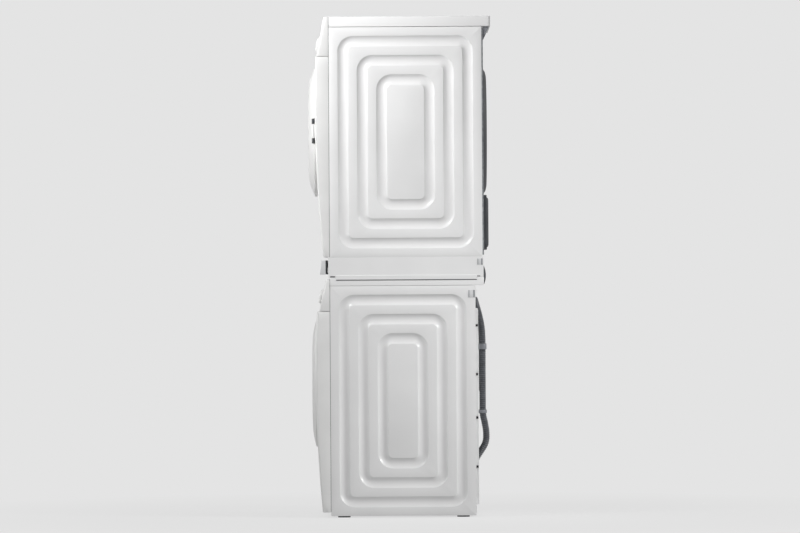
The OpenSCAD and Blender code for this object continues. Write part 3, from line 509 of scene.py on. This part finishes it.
hub = origin["dryer"] + Vector((0, 0, duct_z)) * mm
duct = lathe(hub, [(0, 539), (200, 539), (200, 537), (220, 536.4), (224, 536.4), (224, 542),
                   (221, 545), (217, 546), (212, 550), (200, 553.2), (194, 554), (188, 552),
                   (184, 551), (120, 551), (116, 553), (108, 553), (104, 551), (46, 551),
                   (42, 553.6), (0, 553.6)], 128)
ribs = [polar(block(hub, (-1.5, 549, 46), (1.5, 553, 196)), hub, 360 / duct_ribs * i)
        for i in range(duct_ribs)]
lugs = [polar(block(hub, (-9, 536.4, 214), (9, 541, 223.5)), hub, 360 / duct_lugs * i + 22)
        for i in range(duct_lugs)]
soften(merge(duct, *ribs, *lugs), 0.8, 2, 35)
settle(duct, "dryer_duct", "cabinet", dark_plastic, "dark_plastic", "dryer_air_duct")

cover = block(origin["dryer"], (-190, 536.4, 24), (190, 552, 217))
round_edges(cover, 30, 8, lambda e: abs(e.verts[0].co.y - e.verts[1].co.y) > 5 * mm)
alone(cover)
bpy.ops.object.mode_set(mode="EDIT")
pick("FACE", lambda f: f.normal.y > 0.9)
for width, rise in cover_steps:
    bpy.ops.mesh.inset(thickness=width * mm, depth=rise * mm)
ready()
bars = [block(origin["dryer"], (-150 + slat_pitch * i, 555, 62),
              (-144 + slat_pitch * i, 557.6, 178)) for i in range(slats)]
soften(merge(cover, *bars), 1.0, 2, 35)
settle(cover, "fan_housing_cover", "cabinet", dark_plastic, "dark_plastic", "dryer_fan_cover")
rear_screws("dryer")

# --- Front panels ------------------------------------------------------------------------------
# Each front is bowed from top to bottom and moulded in white ABS with rounded side edges. The
# door sits in a round recess whose floor opens into the mouth of the drum.
bow_radius = 5000
bow_steps = 20
edge_radius = 7
seam = 1.4
mouth_radius = 165
recess_gap = 3.5
recess_floor = 2.5
wall = 3
front_wall = 10
# How far a cutter reaches past the face that it cuts through.
clear = 5
# White ABS: a hair warmer and softer than the enamel, with a fine mould grain.
abs_white = surface("white_ABS", "#ECECEB", "#E8E8E7", 90, (0.34, 0.42), 0.8, 0.012)
# Height of a door's axis, its radius, and the reach of its recess and of its face, in mm.
doors = {"dryer": (444, 227.5, 38, 75), "washer": (457, 222.5, 42, 66)}


def loft(base, reach_x, back, profile):
    """A solid of constant width whose front follows (height, reach) points, in mm."""
    ready()
    z, reach = profile[0]
    bpy.ops.mesh.primitive_plane_add(size=1, location=base + Vector(
        (0, (back - reach) / 2, z)) * mm)
    made = bpy.context.object
    bpy.ops.object.mode_set(mode="EDIT")
    bpy.ops.mesh.select_all(action="SELECT")
    bpy.ops.transform.resize(value=(2 * reach_x * mm, (back + reach) * mm, 1),
                             center_override=made.location)
    rear = base + Vector((0, back, 0)) * mm
    for next_z, next_reach in profile[1:]:
        bpy.ops.mesh.extrude_region_move(
            TRANSFORM_OT_translate={"value": (0, 0, (next_z - z) * mm)})
        bpy.ops.transform.resize(value=(1, (back + next_reach) / (back + reach), 1),
                                 center_override=rear)
        z, reach = next_z, next_reach
    bpy.ops.mesh.select_all(action="SELECT")
    bpy.ops.mesh.normals_make_consistent(inside=False)
    bpy.ops.object.mode_set(mode="OBJECT")
    bpy.ops.object.transform_apply(location=True, rotation=True, scale=True)
    return made


def cut(made, *tools, operation="DIFFERENCE"):
    """Cuts other shapes out of a piece, or joins them to it, and clears them away."""
    for tool in tools:
        modify(made, "BOOLEAN", object=tool, operation=operation, solver="EXACT")
        bpy.data.objects.remove(tool)
    return made


def bore(hub, radius, start, end, sides=128):
    """A cylinder along Y between two places, to cut with."""
    ready()
    bpy.ops.mesh.primitive_cylinder_add(vertices=sides, radius=radius * mm,
                                        depth=(end - start) * mm, rotation=(math.pi / 2, 0, 0),
                                        location=hub + Vector((0, (start + end) / 2 * mm, 0)))
    return bpy.context.object


def front_panel(machine, start, end, peak, crown):
    """A bowed box open at the back, with the recess and the mouth cut through it."""
    base = origin[machine]
    axis, radius, floor_y, _ = doors[machine]
    hub = base + Vector((0, 0, axis * mm))
    heights = [start + (end - start) * i / bow_steps for i in range(bow_steps + 1)]
    bows = [(z, peak - (z - crown) ** 2 / (2 * bow_radius)) for z in heights]
    made = loft(base, half, -seam, bows)
    front = base.y - 5 * mm
    round_edges(made, edge_radius, 6, lambda e: upright(e) and e.verts[0].co.y < front)
    round_edges(made, 2.5, 3, lambda e: all(v.co.y < front for v in e.verts)
                and not upright(e) and min(abs(e.verts[0].co.z - base.z - start * mm),
                                           abs(e.verts[0].co.z - base.z - end * mm)) < 1e-5)
    inner = [(min(max(z, start + wall), end - wall), reach - front_wall) for z, reach in bows]
    recess = radius + recess_gap
    cut(made, loft(base, half - wall, clear, inner),
        bore(hub, recess, -peak - clear, -floor_y),
        bore(hub, recess, recess_floor - floor_y, clear),
        bore(hub, mouth_radius, -peak, clear))
    return made


front = front_panel("dryer", 0, 703, 50, 520)
soften(front, 1.2, 2, 50)
settle(front, "dryer_front", "cabinet", abs_white, "white_enamel", "dryer_front_panel")
front = front_panel("washer", 13, 716, 51.5, 480)
cut(front, block(origin["washer"], (140, -60, 42), (250, clear, 132)))
soften(front, 1.2, 2, 50)
settle(front, "washer_front", "cabinet", abs_white, "white_enamel", "washer_front_panel")
carry(abs_white, "pump_flap", radius=1.2)
carry(dark_plastic, "pump_filter", "drain_pump", radius=0.8)

# --- Control panels ----------------------------------------------------------------------------
# Slanted strips of the same white ABS, clipped on above the fronts. Each has a dark display
# window, a ring of printed marks round its dial, and an opening for its drawer.
# Lower and upper edge of a panel and its reach at each; left, right, bottom and top of a
# drawer's opening; left, right and half height of a display's opening, all in mm.
controls = {"dryer": (704, 842, 43, 18), "washer": (717, 829, 38, 14)}
drawers = {"dryer": (-285, -110, 712, 795), "washer": (-285, -110, 727, 795)}
display = (56, 164, 19)
display_gap = 0.4
dial_z = {"dryer": 754, "washer": 767}
key_x = 205
stem_hole = 6.6
key_hole = 12.4
# Smoked acrylic: near black and glossy, with the faintest ripple.
acrylic = surface("smoked_acrylic", "#17191B", "#121315", 60, (0.06, 0.10), 12, 0.004)
# Pad-printed ink: dark grey and matt.
ink = surface("grey_ink", "#5A5C5F", "#4F5154", 3, (0.5, 0.6), 0.5, 0.004)


def slope(machine):
    """How far a control panel leans back, in radians."""
    low_z, high_z, low_reach, high_reach = controls[machine]
    return math.atan((low_reach - high_reach) / (high_z - low_z))


def lean(made, machine, x, z):
    """Moves a piece drawn at the middle of the frame, facing -Y, onto the slanted face."""
    low_z, high_z, low_reach, high_reach = controls[machine]
    reach = high_reach + (low_reach - high_reach) * (high_z - z) / (high_z - low_z)
    spot = origin[machine] + Vector((x, -reach, z)) * mm
    made.matrix_world = (Matrix.Translation(spot) @ Matrix.Rotation(-slope(machine), 4, "X")
                         @ made.matrix_world)
    return made


def control_panel(machine):
    """A slanted box open at the back, with its openings cut through it."""
    base = origin[machine]
    low_z, high_z, low_reach, high_reach = controls[machine]
    made = loft(base, half, -seam, [(low_z + seam / 2, low_reach), (high_z, high_reach)])
    front = base.y - 5 * mm
    round_edges(made, edge_radius, 6, lambda e: all(v.co.y < front for v in e.verts)
                and (upright(e) or e.verts[0].co.z > base.z + (high_z - 2) * mm))
    left, right, bottom, top = drawers[machine]
    z = dial_z[machine]
    inner = [(low_z + wall, low_reach - wall), (high_z - wall, high_reach - wall)]
    cut(made, loft(base, half - wall, clear, inner),
        block(base, (left, -60, bottom), (right, 10, top)),
        lean(bore(Vector(), stem_hole, -20, 20, 48), machine, 0, z),
        lean(bore(Vector(), key_hole, -20, 20, 48), machine, key_x, z),
        lean(block(Vector(), (display[0], -5, -display[2]), (display[1], 1.2, display[2])),
             machine, 0, z))
    soften(made, 1.0, 2, 50)
    settle(made, f"{machine}_controls", "cabinet", abs_white, "white_plastic",
           f"{machine}_control_panel")
    pane_half = display[2] - display_gap
    pane = block(Vector(), (display[0] + display_gap, -0.4, -pane_half),
                 (display[1] - display_gap, 1.15, pane_half))
    soften(pane, 0.5, 2, 50)
    settle(lean(pane, machine, 0, z), f"{machine}_display", "cabinet", acrylic, "dark_plastic")
    marks = [polar(block(Vector(), (-0.6, -0.25, 30), (0.6, 0.3, 35 if i % 3 else 38)),
                   Vector(), 30 * i) for i in range(12)]
    settle(lean(merge(*marks), machine, 0, z), f"{machine}_dial_marks", "cabinet", ink,
           "dark_plastic")


control_panel("dryer")
control_panel("washer")

# --- Dials and start buttons -------------------------------------------------------------------
# The dials are white ABS with a grooved rim and a finger bar, on a stem that passes through
# the panel. The start buttons are dished round keys of the same plastic.
dial_shape = [(0, 16), (6, 16), (6, -0.6), (25.2, -0.6), (26, -1.4), (25.4, -8.6),
              (24.4, -10), (23, -10.6), (21, -10.2), (0, -9.6)]
for machine in ("washer", "dryer"):
    dial = lathe(Vector(), dial_shape)
    alone(dial)
    bpy.ops.object.mode_set(mode="EDIT")
    pick("FACE", lambda f: abs(f.normal.y) < 0.3 and f.calc_center_median().xz.length > 20 * mm
         and abs(f.verts[0].co.y - f.verts[2].co.y) > 5 * mm)
    bpy.ops.mesh.inset(thickness=0.25 * mm, depth=-0.5 * mm, use_individual=True)
    ready()
    bar = block(Vector(), (-5, -14, -22), (5, -9, 22))
    soften(bar, 2.2, 4, 50)
    merge(dial, bar)
    settle(lean(dial, machine, 0, dial_z[machine]), f"{machine}_programme_dial",
           f"{machine}_dial", abs_white, "white_plastic", f"{machine}_dial")
    line = block(Vector(), (-0.7, -14.2, 8), (0.7, -13.6, 20))
    settle(lean(line, machine, 0, dial_z[machine]), f"{machine}_dial_pointer",
           f"{machine}_dial", ink, "dark_plastic")
    key = lathe(Vector(), [(0, 9), (14, 9), (14, 7.5), (12, 7.5), (12, -2.2), (11.2, -3),
                           (9.5, -3), (8, -2.4), (0, -1.8)], 64)
    settle(lean(key, machine, key_x, dial_z[machine]), f"{machine}_start_key",
           f"{machine}_start_button", abs_white, "white_plastic", f"{machine}_start_button")

# --- Drawers -----------------------------------------------------------------------------------
# The detergent drawer has three open cups and runs in a grey polypropylene housing. The
# dryer's drawer is a closed tank for the water that it condenses.
# Natural polypropylene: pale grey, waxy and a little translucent.
pale_plastic = surface("pale_polypropylene", "#D2D4D6", "#C8CACC", 50, (0.35, 0.48), 1, 0.02,
                       Subsurface_Weight=0.05, Subsurface_Scale=0.004)
carry(abs_white, "detergent_drawer", radius=1.0)
carry(pale_plastic, "dispenser_housing", "water_tank", radius=1.0)

# --- Doors -------------------------------------------------------------------------------------
# Each door is a thick domed ABS ring with a silver-painted trim round its window and a
# pressed glass bowl that reaches into the drum's mouth. Steel-pinned hinges carry it.
window = 150
inner_edge = 158
bowl_seat = 14
# The ring's face falls off from its inner edge to its rim by a share of its thickness, slowly
# at first and then faster. Behind the rim its side steps in, at a share of its thickness.
dome_fall = 0.65
dome_power = 1.6
dome_steps = 14
step_share = 0.27
rim = 5
rim_steps = 5
bowl_depth = {"dryer": 36, "washer": 46}
# Silver paint on ABS: fine flakes under a clear coat.
silver = surface("silver_paint", "#C9CACC", "#BEBFC1", 20, (0.24, 0.34), 0.4, 0.01,
                 Metallic=0.7, Coat_Weight=0.3)
# Pressed glass, smoked: clear enough to show the drum dimly.
glass = surface("smoked_glass", "#6A7176", "#5F666B", 80, (0.02, 0.05), 25, 0.01,
                Transmission_Weight=0.75, IOR=1.5)
# Distance of a hinge's pin from the door's axis, its place in depth, and its side.
hinges = {"dryer": (221.5, -57, 1), "washer": (216.5, -54, -1)}
leaf_half = 44
knuckle_z = 34
knuckle_radius = 4.5
knuckle_length = 18


def door(machine):
    """The ring, its trim and the glass of one door, and the place cut out for its hinge."""
    axis, radius, floor_y, front = doors[machine]
    hub = origin[machine] + Vector((0, 0, axis * mm))
    back = floor_y + 0.3
    step = -step_share * front - (1 - step_share) * back
    sag = dome_fall * (front - back) - rim
    falls = [1 - i / dome_steps for i in range(dome_steps + 1)]
    dome = [(inner_edge + (radius - rim - inner_edge) * u, sag * u ** dome_power - front)
            for u in falls]
    turns = [math.pi / 2 * i / rim_steps for i in range(rim_steps)]
    edge = [(radius - rim + rim * math.cos(t), sag + rim - rim * math.sin(t) - front)
            for t in turns]
    shape = [(168, -back), (radius - 3, -back), (radius - 3, step), (radius, step), *edge, *dome,
             (window, 8 - front), (window, bowl_seat - front), (168, bowl_seat - front),
             (168, -back)]
    ring = lathe(hub, shape, 128)
    pin_x, pin_y, side = hinges[machine]
    low_x, high_x = sorted((side * (pin_x - 12), side * (radius + 1)))
    cut(ring, block(hub, (low_x, pin_y - 9, -leaf_half - 1), (high_x, 1 - back, leaf_half + 1)))
    soften(ring, 0.8, 2, 50)
    settle(ring, f"{machine}_door_ring", f"{machine}_door", abs_white, "white_plastic",
           f"{machine}_door_frame")
    trim = lathe(hub, [(148.6, 13.8 - front), (148.6, 7 - front), (151, 4 - front),
                       (156, 0.8 - front), (158.6, 0.3 - front), (158.6, 1.2 - front),
                       (149.9, 8.2 - front), (149.9, 13.8 - front), (148.6, 13.8 - front)], 128)
    settle(trim, f"{machine}_door_trim", f"{machine}_door", silver, "silver_trim")
    deep = bowl_depth[machine]
    y = bowl_seat - front
    bowl = lathe(hub, [(0, deep - 4), (106, deep - 4), (110, deep - 5), (114, deep - 9),
                       (120, deep - 18), (140, y + 4), (140, y), (167, y), (167, y + 4),
                       (146, y + 4), (144, y + 6), (124, deep - 14), (118, deep - 6),
                       (112, deep - 1), (108, deep), (0, deep)], 128)
    settle(bowl, f"{machine}_door_bowl", f"{machine}_door", glass, "door_glass",
           f"{machine}_door_glass", smooth=50)


def hinge(machine):
    """The white leaf on the door and its two dark knuckles."""
    hub = origin[machine] + Vector((0, 0, doors[machine][0] * mm))
    x, y, side = hinges[machine]
    low_x, high_x = sorted((side * (x - 12), side * (x - 8)))
    leaf = block(hub, (low_x, y - 3, -leaf_half), (high_x, y + 8, leaf_half))
    settle(soften(leaf, 0.8, 2, 50), f"{machine}_hinge_leaf", f"{machine}_door", abs_white,
           "white_plastic")
    low_x, high_x = sorted((side * (x - 10), side * x))
    knuckles = []
    reach = knuckle_length / 2 - 0.1
    for z in (-knuckle_z, knuckle_z):
        ready()
        bpy.ops.mesh.primitive_cylinder_add(vertices=32, radius=knuckle_radius * mm,
                                            depth=knuckle_length * mm,
                                            location=hub + Vector((side * x, y, z)) * mm)
        barrel = bpy.context.object
        tongue = block(hub, (low_x, y - 3, z - reach), (high_x, y + 3, z + reach))
        knuckles.append(cut(barrel, tongue, operation="UNION"))
    soften(merge(*knuckles), 0.7, 2, 40)
    settle(knuckles[0], f"{machine}_hinge_knuckles", f"{machine}_door", dark_plastic,
           "dark_plastic", f"{machine}_door_hinge")


for machine in ("dryer", "washer"):
    door(machine)
    hinge(machine)
carry(abs_white, "hinge_brackets", radius=0.4)

# --- Inside the washer -------------------------------------------------------------------------
# A rubber bellows joins the front to the tub. The stainless drum turns on a shaft through the
# tub's back, driven by a belt from a motor below. Concrete blocks weigh the tub down.
drum_radius = 241
drum_wall = 4
hole_pitch = 14
hole_share = 0.16
# EPDM rubber: mid grey and matt, with a bloom of paler patches.
rubber = surface("grey_EPDM_rubber", "#8A8C8F", "#7C7E81", 25, (0.55, 0.70), 1.2, 0.03)
black_rubber = surface("black_belt_rubber", "#26272A", "#1E1F21", 20, (0.6, 0.75), 1, 0.04)
tub_plastic = surface("glass_filled_polypropylene", "#A9ADB0", "#9BA0A3", 35, (0.5, 0.62),
                      2, 0.05)
aluminium = surface("cast_aluminium", "#C2C3C4", "#B2B3B5", 12, (0.35, 0.5), 1.5, 0.04,
                    Metallic=1.0)
lamination = surface("varnished_iron", "#4A4744", "#393735", 15, (0.4, 0.55), 1, 0.05,
                     stretch=(1, 6, 1), Metallic=0.6)
concrete = surface("cast_concrete", "#9C9A96", "#85837F", 20, (0.8, 0.92), 3, 0.3)


def stainless(name, hub):
    """Brushed stainless steel, with a drum's punched holes round the line through a hub painted
    near black: a painted shade of the dark inside seen through them.
    """
    made = surface(name, "#CDCECF", "#BFC0C2", 30, (0.22, 0.34), 0.8, 0.01, (1, 14, 1),
                   Metallic=1.0)
    tree = made.node_tree
    shader = tree.nodes["Principled BSDF"]
    place = add(tree, "TexCoord").outputs["Object"]
    spot = add(tree, "Mapping", {"Vector": place, "Location": -hub}).outputs[0]
    parts = add(tree, "SeparateXYZ", {0: spot}).outputs
    turn = add(tree, "Math", {0: parts[0], 1: parts[2]}, operation="ARCTAN2").outputs[0]
    around = add(tree, "Math", {0: turn, 1: drum_radius / hole_pitch},
                 operation="MULTIPLY").outputs[0]
    along = add(tree, "Math", {0: parts[1], 1: 1 / (hole_pitch * mm)},
                operation="MULTIPLY").outputs[0]
    grid = add(tree, "CombineXYZ", {0: around, 1: along}).outputs[0]
    cell = add(tree, "VectorMath", {0: grid}, operation="FRACTION").outputs[0]
    off = add(tree, "VectorMath", {0: cell, 1: (0.5, 0.5, 0)}, operation="DISTANCE")
    hole = add(tree, "Math", {0: off.outputs["Value"], 1: hole_share},
               operation="LESS_THAN").outputs[0]
    reach = add(tree, "VectorMath", {0: spot, 1: (1, 0, 1)}, operation="MULTIPLY").outputs[0]
    out = add(tree, "VectorMath", {0: reach}, operation="LENGTH").outputs["Value"]
    mantle = add(tree, "Math", {0: out, 1: (drum_radius - drum_wall) * mm},
                 operation="GREATER_THAN").outputs[0]
    painted_hole_shade = add(tree, "Math", {0: hole, 1: mantle}, operation="MULTIPLY").outputs[0]
    steel = shader.inputs["Base Color"].links[0].from_socket
    # Inside each hole the steel turns near black: painted shade standing in for the dark seen
    # through the hole.
    shade = add(tree, "Mix", {0: painted_hole_shade, 6: steel, 7: tone("#101112")}, data_type="RGBA")
    tree.links.new(shade.outputs[2], shader.inputs["Base Color"])
    return made


washer_hub = origin["washer"] + Vector((0, 0, doors["washer"][0])) * mm
carry(rubber, "washer_gasket", radius=1.2)
carry(stainless("punched_stainless_steel", washer_hub), "washer_drum", radius=0.5)
carry(pale_plastic, "washer_lifters", radius=3, steps=3)
carry(tub_plastic, "washer_tub", radius=1.0)
carry(aluminium, "washer_drum_pulley", "condenser", radius=0.6)
carry(black_rubber, "washer_belt", "dryer_belt", radius=0.3)
carry(lamination, "washer_motor", "dryer_motor", radius=1.5)
carry(zinc, "washer_motor_pulley", "dryer_rotor", "tub_springs", radius=0.4)
carry(concrete, "counterweights", radius=3)
carry(dark_plastic, "tub_dampers", radius=1.0)

# --- Inside the dryer --------------------------------------------------------------------------
# A grey bulkhead carries the drum's front and the slot of the lint filter. The drum is plain
# rolled stainless steel with three paddles.
rolled = surface("rolled_stainless_steel", "#CBCCCD", "#BDBEC0", 30, (0.24, 0.36), 0.8, 0.01,
                 (1, 14, 1), Metallic=1.0)
carry(rolled, "dryer_drum", radius=0.6)
carry(pale_plastic, "dryer_bulkhead", "lint_filter", radius=0.8)

# --- Stacking kit ------------------------------------------------------------------------------
# An enamelled steel frame bridges the two machines, with a skirt over the washer's edges and
# dark foam tape in its joints, a painted shade of the gaps there. A shelf slides out on it,
# whose slanted front is moulded, with a finger groove under it and a dark foam strip behind,
# a painted shade of the gap behind the front.
kit_rise = 835
kit_height = 71
kit_base = origin["washer"] + Vector((0, 0, kit_rise)) * mm
kit_rear = (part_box("kit_frame")[1].y - kit_base.y) / mm
carry(enamel, "kit_frame", "kit_shelf", radius=1.0)
# Light grey ABS, a shade darker than the fronts.
grey_abs = surface("light_grey_ABS", "#DCDDDE", "#D5D6D7", 90, (0.34, 0.42), 0.8, 0.012)
# Closed-cell EPDM foam: charcoal and quite matt. Each strip of it here is a painted shade in a
# joint or gap.
shade_foam = surface("painted_shade_foam", "#4A4B4E", "#3D3E41", 12, (0.7, 0.85), 1.5, 0.06)
handle = loft(kit_base, half - 2, -15, [(11, 35), (61, 29)])
cut(handle, block(kit_base, (-286, -29, 5), (286, -19, 25)))
soften(handle, 1.6, 3, 50)
settle(handle, "shelf_handle", "kit_shelf", grey_abs, "white_plastic", "kit_shelf_front")
# A dark foam strip behind the shelf's front: a painted shade of the deep gap between the front and
# the frame.
shade_strip = block(kit_base, (-295, -15, 11.5), (295, -9, 60))
soften(shade_strip, 1.5, 2, 50)
settle(shade_strip, "shelf_front_shade_strip", "kit_shelf", shade_foam, "black_rubber")


def both_ends(low, high):
    return [block(kit_base, low, high),
            block(kit_base, (-high[0], *low[1:]), (-low[0], *high[1:]))]


# Foam tape under the skirt and short pads at the ends of its joint: dark strips that paint the
# shade of the gaps between the kit and the washer's top.
shade_tapes = [*both_ends((half, 22, -10.4), (half + 1.2, 514, -8.3)),
         *both_ends((half - 0.8, 0.5, 0.6), (half + 0.4, 18, 4.6)),
         *both_ends((half - 0.8, 515, 1), (half + 0.4, 526, 4.2))]
settle(soften(merge(*shade_tapes), 0.3, 2, 50), "kit_joint_shade_tape", "cabinet", shade_foam, "black_rubber")

strap_x = (half - 60, half - 12)
painted_strap = surface("dark_painted_steel", "#55575B", "#494B4F", 30, (0.38, 0.5), 1.2, 0.02)
strap_face = 539
strap_middle = 5
lip_half = 33
lip_bulge = 7
bend = (lip_half ** 2 + lip_bulge ** 2) / (2 * lip_bulge)
straps = both_ends((strap_x[0], strap_face - 2, -26), (strap_x[1], strap_face + 0.6, 39))
tabs = both_ends((strap_x[0], kit_rear, 10), (strap_x[1], strap_face + 0.2, 36))
for strap, tab, side in zip(straps, tabs, (1, -1)):
    ready()
    bpy.ops.mesh.primitive_cylinder_add(
        vertices=256, radius=bend * mm, depth=(strap_x[1] - strap_x[0]) * mm,
        rotation=(0, math.pi / 2, 0), location=kit_base + Vector(
            (side * sum(strap_x) / 2, strap_face + lip_bulge - bend, strap_middle)) * mm)
    lip = bpy.context.object
    cut(lip, block(kit_base, (-half, 300, -200), (half, strap_face, 200)))
    cut(strap, tab, lip, operation="UNION")
settle(soften(merge(*straps), 0.7, 2, 40), "kit_straps", "cabinet", painted_strap,
       "light_plastic", "kit_brackets")
# The ribs stand proud at each clip's front and back edge. Their grey, darker than the clip, is a
# painted shade along those edges.
clips, ribs = [], []
for (y0, z0), (y1, z1) in (((517, 42), (kit_rear - 2, 64)), ((485, -72), (508, -46))):
    clips += both_ends((half, y0, z0), (half + 1, y1, z1))
    ribs += both_ends((half + 0.8, y0, z0), (half + 2, y0 + 2, z1))
    ribs += both_ends((half + 0.8, y1 - 6, z0), (half + 2, y1 - 2, z1))
settle(soften(merge(*clips), 0.4, 2, 50), "kit_side_clips", "cabinet", grey_abs,
       "light_plastic")
settle(soften(merge(*ribs), 0.4, 2, 50), "kit_clip_ribs_painted_shade", "cabinet", polyamide,
       "light_plastic")

# --- Painted shade of the front joints ---------------------------------------------------------
# A dark strip of the same foam stands in the joint between each front and its cabinet, a little
# way in from the side: a painted shade, so that the joint shows as a dark line.
joint_shade_spans = ((-kit_rise, 15, 827), (kit_height, 2, 841))
joint_shade_strips = []
for base, low_z, high_z in joint_shade_spans:
    joint_shade_strips += both_ends((half - 7, -1.3, base + low_z), (half - 1.6, -0.05, base + high_z))
settle(merge(*joint_shade_strips), "front_joint_shade_strips", "cabinet", shade_foam, "black_rubber")

# --- Drain hose --------------------------------------------------------------------------------
# A corrugated polypropylene hose leaves a slot low in the washer's back, climbs it and turns
# over in its recess. Two pale bands hold it, and a threaded water valve stands at the left.
hose_radius = 12.5
hose_pitch = 7
hose_valley = 0.8
route_steps = 40
# Grey polypropylene of the hose: dark, and lighter along the crests of its rings.
hose_plastic = surface("grey_polypropylene_hose", "#5E6064", "#505256", 18, (0.38, 0.5), 1, 0.02)
hose_route = [(225, 493, 172), (225, 517, 210), (225, 541, 250), (225, 545, 285),
              (225, 540, 322), (225, 534, 350), (225, 533, 370), (225, 533, 410),
              (225, 533, 520), (225, 533, 610), (225, 530, 660), (221, 521, 705),
              (203, 511, 738), (165, 507, 754), (127, 511, 738), (109, 521, 705),
              (105, 530, 660), (105, 533, 610), (105, 533, 520), (105, 533, 430)]


def smooth_route(points, pitch):
    """Evenly spaced points along a smooth curve through the route."""
    spots = [Vector(p) for p in points]
    ends = [2 * spots[0] - spots[1], *spots, 2 * spots[-1] - spots[-2]]
    fine = []
    for a, b, c, d in zip(ends, ends[1:], ends[2:], ends[3:]):
        for i in range(route_steps):
            t = i / route_steps
            fine.append((2 * b + (c - a) * t + (2 * a - 5 * b + 4 * c - d) * t ** 2
                         + (3 * b - a - 3 * c + d) * t ** 3) / 2)
    fine.append(spots[-1])
    even, left = [fine[0]], pitch
    for a, b in zip(fine, fine[1:]):
        while (b - a).length >= left:
            a = a + (b - a).normalized() * left
            even.append(a)
            left = pitch
        left -= (b - a).length
    return even


curve = bpy.data.curves.new("drain_hose", "CURVE")
curve.dimensions = "3D"
curve.bevel_depth = (hose_radius - 0.05) * mm
curve.bevel_resolution = 6
curve.use_fill_caps = True
line = curve.splines.new("POLY")
route = smooth_route(hose_route, hose_pitch / 2)
line.points.add(len(route) - 1)
for i, (point, spot) in enumerate(zip(line.points, route)):
    point.co = (*(origin["washer"] + spot * mm), 1)
    point.radius = 1 if i % 2 else hose_valley
hose = bpy.data.objects.new("drain_hose_pipe", curve)
bpy.context.collection.objects.link(hose)
alone(hose)
bpy.ops.object.convert(target="MESH")
hose = bpy.context.object
bpy.ops.object.mode_set(mode="EDIT")
bpy.ops.mesh.select_all(action="SELECT")
bpy.ops.mesh.remove_doubles(threshold=weld_reach * mm)
settle(hose, "drain_pipe", "cabinet", hose_plastic, "dark_plastic", "drain_hose", smooth=60)
carry(polyamide, "hose_clips", radius=0.5)
carry(pale_plastic, "inlet_valve", radius=0.5)
